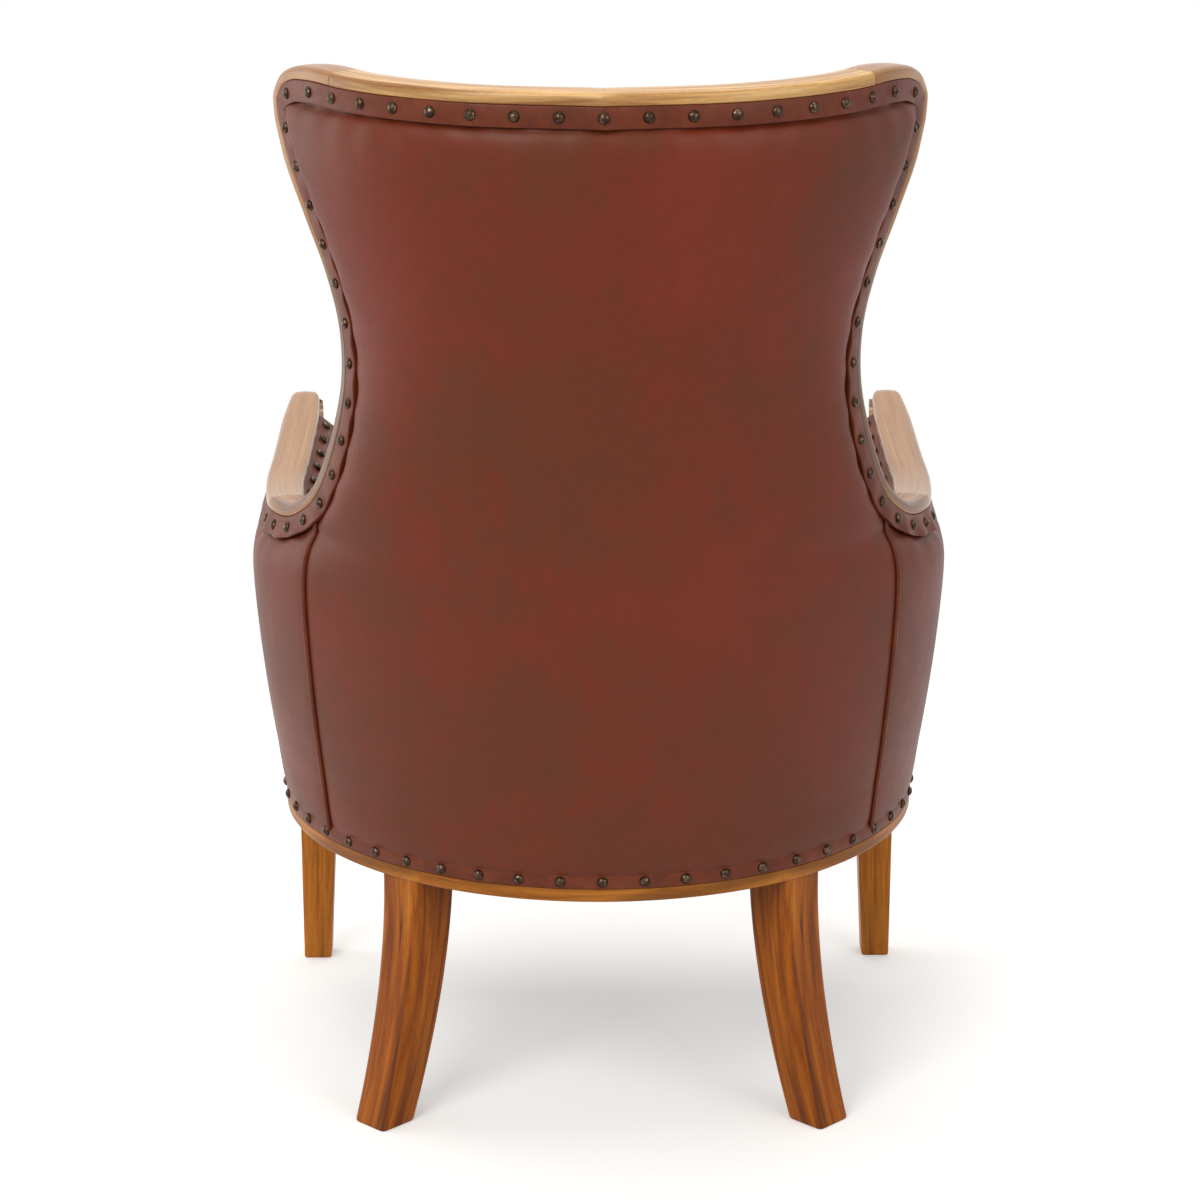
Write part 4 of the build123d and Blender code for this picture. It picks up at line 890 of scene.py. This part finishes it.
def insideArm():
    # the pad's depth is a parabola over its height, closed under the arm's band and at the front post
    i, p = inside, armPad
    aEnd = float(sideRun(p["front"], p["level"]))
    fine, last = seamTurn + p["fineStart"], aEnd - p["fineEnd"]
    a = np.concatenate([np.linspace(seamTurn + p["gap"], fine, 24), np.linspace(fine + 0.01, last, 70),
                        np.linspace(last + 0.002, aEnd, 20)])[:, None]
    t = np.linspace(0, 1, 80)[None]
    lineA, lineZ = inA[inWaist:], inZ[inWaist:]
    a, z, last, top = toPost(a, seamTurn, aEnd, p["front"], i["low"], lineA, lineZ, t)
    start, end = (a - seamTurn) * p["seamRadius"], (last - a) * barrel["armRadius"]
    base, rise, fall = p["depth"]
    depth = i["seam"] + (base + rise * t - fall * t ** 2 - i["seam"]) * soft(start, p["seamReach"])
    depth = depth * soft(top - z, p["topReach"])
    post = ramp(a, np.pi / 2, aEnd - p["postGap"]) * p["postIn"] * (1 - t)
    footIn = np.interp(a, lineA, innerLean[inWaist:]) * np.exp(-(top - z) / p["leanReach"])
    return wall(a, z, -i["frame"] - post - footIn - depth * soft(end, p["endReach"]))


piece = makePiece("insideBackLeather", insideBack(), hide,
                  ["inside_back_leather", "inside_back_foam"], facing=fromWall(-1))
thicken(piece, inside["skin"])
armGrid = insideArm()
for side, flip in sides:
    piece = makePiece(side + "InsideArmLeather", armGrid * flip, hide,
                      [side + "_arm_leather", side + "_arm_foam"], facing=fromWall(-1))
    thicken(piece, inside["skin"])

border = {"half": 273.6, "low": 270.0, "high": 341.0, "face": -290.5, "deep": 8.0, "skin": 2.0, "reach": 6.0}
x = np.linspace(-border["half"], border["half"], 140)[:, None]
z = np.linspace(border["low"], border["high"], 40)[None]
swell = soft(border["half"] - np.abs(x), border["reach"]) * soft(border["high"] - z, border["reach"])
swell = swell * soft(z - border["low"] + 1, border["reach"])
grid = pointsFrom(x, border["face"] - border["deep"] * swell, z)
piece = makePiece("frontBorderLeather", grid, hide, ["front_border"],
                  facing=lambda points: forward)
thicken(piece, border["skin"])
print("inside leather made")

# seat
seat = {"half": 230.0, "low": 345.0, "high": 446.0, "lead": 10.0, "corner": 34.0, "roll": 24.0, "tuck": 0.6,
        "crown": 12.0, "crownShares": [0.9, 0.8, 0.7, 0.6, 0.5, 0.4, 0.3, 0.2, 0.1, 0.02], "piping": 3.4,
        "pipingPlace": 0.3, "pipingOut": 0.4, "floor": 341.8, "voxel": 6.0, "limit": 14.0, "frames": 20,
        "cloth": {"quality": 5, "mass": 0.3, "tension_stiffness": 12, "compression_stiffness": 12,
                  "use_pressure": True, "uniform_pressure_force": 4.0}}


def planOutline(half, middle, front, corner, count):
    # half round at the back, straight sides and rounded front corners, evenly spaced
    back = np.linspace(0, np.pi, 90)
    nose = np.linspace(np.pi, 1.5 * np.pi, 14)
    left = np.stack([-half + corner + corner * np.cos(nose), front + corner + corner * np.sin(nose)], axis=-1)
    right = (left * [-1, 1])[::-1]
    bow = np.stack([half * np.cos(back), middle + half * np.sin(back)], axis=-1)
    line = np.concatenate([bow, left, right, bow[:1]])
    length = runLength(line)
    return along(np.linspace(0, length[-1], count, endpoint=False), length, line)


def stackedRings(outline, levels):
    # for each height, inset and scale, the outline drawn in and scaled about its middle
    z, inset, scale = (np.array(column, float)[:, None, None] for column in zip(*levels))
    middle = outline.mean(axis=0)
    rings = middle + (outline - outlineNormals(outline) * inset - middle) * scale
    return np.concatenate([rings, np.broadcast_to(z, rings.shape[:2] + (1,))], axis=2)


def pointsOf(mesh):
    # the mesh's points as rows
    flat = np.empty(len(mesh.vertices) * 3)
    mesh.vertices.foreach_get("co", flat)
    return flat.reshape(-1, 3)


def inflated(piece):
    # even cells, then the cover is blown up by air pressure and each point's move is capped
    cells = piece.modifiers.new("cells", "REMESH")
    cells.mode = "VOXEL"
    cells.voxel_size = seat["voxel"] * mm
    mesh = bpy.data.meshes.new_from_object(piece.evaluated_get(bpy.context.evaluated_depsgraph_get()))
    piece.modifiers.clear()
    piece.data = mesh
    rest = pointsOf(mesh)
    stuffing = piece.modifiers.new("stuffing", "CLOTH")
    for key, value in seat["cloth"].items():
        setattr(stuffing.settings, key, value)
    stuffing.settings.effector_weights.gravity = 0
    stuffing.point_cache.frame_end = seat["frames"]
    for number in range(1, seat["frames"] + 1):
        scene.frame_set(number)
    move = pointsOf(piece.evaluated_get(bpy.context.evaluated_depsgraph_get()).data) - rest
    piece.modifiers.clear()
    scene.frame_set(1)
    size = np.linalg.norm(move, axis=1, keepdims=True)
    place = rest + move * np.minimum(1, seat["limit"] * mm / np.maximum(size, 1e-9))
    # stretched back to the cut plan, which the pressure draws in
    low, high = place[:, :2].min(axis=0), place[:, :2].max(axis=0)
    planLow, planHigh = plan.min(axis=0) * mm, plan.max(axis=0) * mm
    place[:, :2] = planLow + (place[:, :2] - low) / (high - low) * (planHigh - planLow)
    place[:, 2] = np.maximum(place[:, 2], seat["floor"] * mm)
    mesh.vertices.foreach_set("co", place.ravel())
    mesh.polygons.foreach_set("use_smooth", np.ones(len(mesh.polygons), bool))
    mesh.materials.clear()
    mesh.materials.append(hide)
    mesh.update()
    finer = piece.modifiers.new("finer", "SUBSURF")
    finer.levels = finer.render_levels = 1
    return place


plan = planOutline(seat["half"], barrel["centreY"] - seat["lead"], barrel["frontY"] - seat["lead"],
                   seat["corner"], 240)
low, high, roll = seat["low"], seat["high"], seat["roll"]
tucked = roll * seat["tuck"]
# the rolled edge: shares of its height from a face, and insets
edgeRoll = [(0.15, roll * 0.22), (0.5, 1), (1, 0)]
levels = [(low, tucked, scale) for scale in (0.05, 0.5, 1)]
levels += [(low + roll * up, inset, 1) for up, inset in edgeRoll] + [((low + high) / 2, 0, 1)]
levels += [(high - roll * up, inset, 1) for up, inset in edgeRoll[::-1]] + [(high + 1, tucked, 1)]
# the top rises to its middle as a flattened dome: crown by one less the cube of the distance out
levels += [(high + 1 + seat["crown"] * (1 - share ** 3), tucked, share) for share in seat["crownShares"]]
cushion = makePiece("seatCushion", stackedRings(plan, levels), hide,
                    ["cushion_cover", "cushion_core"], "seat_cushion", ring=True, capped=True)
cover = inflated(cushion)
pipeOutline = cordOutline * seat["piping"]
inRoll = roll * seat["pipingPlace"]
for name, z in (("lowerPiping", low + inRoll), ("upperPiping", high - inRoll)):
    # the cord lies on the cover: nearest cover point to the plan line at this level, evened out
    line = np.concatenate([plan, np.full((len(plan), 1), z)], axis=1)
    near = np.argmin(((line[:, None] * mm - cover[None]) ** 2).sum(axis=2), axis=1)
    spread = (np.arange(-6, 7)[None] + np.arange(len(line))[:, None]) % len(line)
    line = (cover[near] / mm)[spread].mean(axis=1)
    out = np.concatenate([outlineNormals(line[:, :2]), np.zeros((len(line), 1))], axis=1)
    line, out = (np.concatenate([row, row[:1]]) for row in (line, out))
    grid, _ = carried(line + out * seat["piping"] * seat["pipingOut"], out, pipeOutline)
    makePiece(name, grid, trimHide, ["cushion_piping"], "seat_cushion", ring=True)

# the deck's edge is rounded by levels of height and inset; its front stops at the posts
deck = {"half": 281.0, "front": -290.0, "corner": 8.0, "postY": -250.0, "postX": 273.5,
        "levels": [(318.5, 2, 1), (320, 0.3, 1), (330, 0, 1), (337, 0.6, 1), (340, 2.5, 1), (341.2, 6, 1)]}
cut = planOutline(deck["half"], barrel["centreY"], deck["front"], deck["corner"], 200)
grid = stackedRings(cut, deck["levels"])
x, y = grid[..., 0], grid[..., 1]
grid[..., 0] = np.where(y < deck["postY"], np.clip(x, -deck["postX"], deck["postX"]), x)
piece = makeBar("seatDeckCloth", grid, deckTwill, "deck_cloth", "seat_deck")

# black cambric stapled under the rails, sagging as one less the square of the distance out
dust = {"half": 304.0, "front": -281.5, "level": 243.4, "sag": 5.0, "thick": 0.8, "corner": 8.0,
        "shares": [1.0, 0.97, 0.9, 0.8, 0.7, 0.6, 0.5, 0.4, 0.3, 0.2, 0.1, 0.01]}
cut = planOutline(dust["half"], barrel["centreY"], dust["front"], dust["corner"], 200)
grid = stackedRings(cut, [(dust["level"] - dust["sag"] * (1 - share ** 2), 0, share)
                          for share in dust["shares"]])
piece = makePiece("dustCambric", grid, cambric, ["dust_cover"], ring=True,
                  facing=lambda points: np.array([0.0, 0.0, -1.0]))
thicken(piece, dust["thick"])
print("seat made")

# what stays from the CAD
slotOf = {row["node"]: row["material_slot"] for row in frame["record"]["subparts"]}
replaced = {name for piece in bpy.data.objects for name in piece.get("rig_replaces", [])}
for name in sorted(set(nodes) - replaced):
    nodes[name].data.materials.clear()
    nodes[name].data.materials.append(innerFinishes[slotOf[name]])
print("kept from the CAD:", sorted(set(nodes) - replaced))

# floor, light and camera, in metres and watts; a lamp has its place, what it aims at, its width and its power
studio = {"keyBox": ((1.6, 2.6, 2.6), (0, 0, 0.5), 1.8, 70.0),
          "fillBox": ((-2.2, 2.2, 1.8), (0, 0, 0.5), 2.0, 30.0),
          "sideBox": ((2.4, -0.6, 0.9), (0.2, 0, 0.45), 1.8, 20.0),
          "topBox": ((0, -0.6, 3.2), (0, 0, 0.6), 2.4, 55.0)}
surround = {"warm": (1.0, 0.965, 0.9), "sky": 0.5, "floorHalf": 3, "floorClear": 0.9, "floorGone": 1.7,
            "paperGlow": 0.3}
shot = {"place": (0.0389, 3.2465, 1.418), "tilt": 0.28164, "swing": -0.01207, "lens": 104.38, "sensor": 36.0}


def seenDirectly(tree):
    # one for rays from the camera, mirrors and glass, nothing for light that falls on the chair
    light = addNode(tree, "ShaderNodeLightPath").outputs
    most = {"operation": "MAXIMUM"}
    seen = addNode(tree, "ShaderNodeMath", most, i0=light["Is Camera Ray"], i1=light["Is Glossy Ray"])
    return addNode(tree, "ShaderNodeMath", most, i0=seen, i1=light["Is Transmission Ray"])


def place(name, data, spot, look):
    # links a lamp or the camera at its spot, turned to look along a direction
    holder = bpy.data.objects.new(name, data)
    holder.location = spot
    holder.rotation_euler = look.to_track_quat("-Z", "Y").to_euler()
    scene.collection.objects.link(holder)
    return holder


half = surround["floorHalf"]
floorMesh = bpy.data.meshes.new("studioFloor")
corners = [(-half, -half, 0), (half, -half, 0), (half, half, 0), (-half, half, 0)]
floorMesh.from_pydata(corners, [], [(0, 1, 2, 3)])
floor = bpy.data.objects.new("studioFloor", floorMesh)
scene.collection.objects.link(floor)
# white paper that fades into the white surround away from the chair
paper, tree, shader, spot = newFinish("backdropPaper", Roughness=0.9, Base_Color=linear("#e0e0e0"),
                                      Emission_Color=linear("#ffffff"))
distance = addNode(tree, "ShaderNodeVectorMath", {"operation": "LENGTH"}, i0=spot).outputs["Value"]
fade = addNode(tree, "ShaderNodeMapRange", {"interpolation_type": "SMOOTHSTEP"}, i0=distance,
               i1=surround["floorClear"], i2=surround["floorGone"], i3=1.0, i4=0.0)
glow = addNode(tree, "ShaderNodeMath", {"operation": "MULTIPLY"}, i0=seenDirectly(tree),
               i1=surround["paperGlow"])
feed(tree, shader, {"Alpha": fade, "Emission_Strength": glow})
floorMesh.materials.append(paper)

world = bpy.data.worlds.new("studio")
scene.world = world
world.use_nodes = True
tree = world.node_tree
strength = addNode(tree, "ShaderNodeMapRange", i0=seenDirectly(tree), i1=0.0, i2=1.0, i3=surround["sky"],
                   i4=1.0)
feed(tree, tree.nodes["Background"], {"Strength": strength, "Color": (1, 1, 1, 1)})

for name, (spot, aim, size, watts) in studio.items():
    lamp = bpy.data.lights.new(name, "AREA")
    lamp.shape = "SQUARE"
    lamp.size = size
    lamp.energy = watts
    lamp.color = surround["warm"]
    place(name, lamp, spot, Vector(aim) - Vector(spot))
lens = bpy.data.cameras.new("camera")
lens.lens, lens.sensor_width = shot["lens"], shot["sensor"]
level = np.cos(shot["tilt"])
look = Vector((shot["swing"] * level, -np.sqrt(1 - shot["swing"] ** 2) * level, -np.sin(shot["tilt"])))
scene.camera = place("camera", lens, shot["place"], look)
scene.view_settings.view_transform = "Standard"
print("studio made")
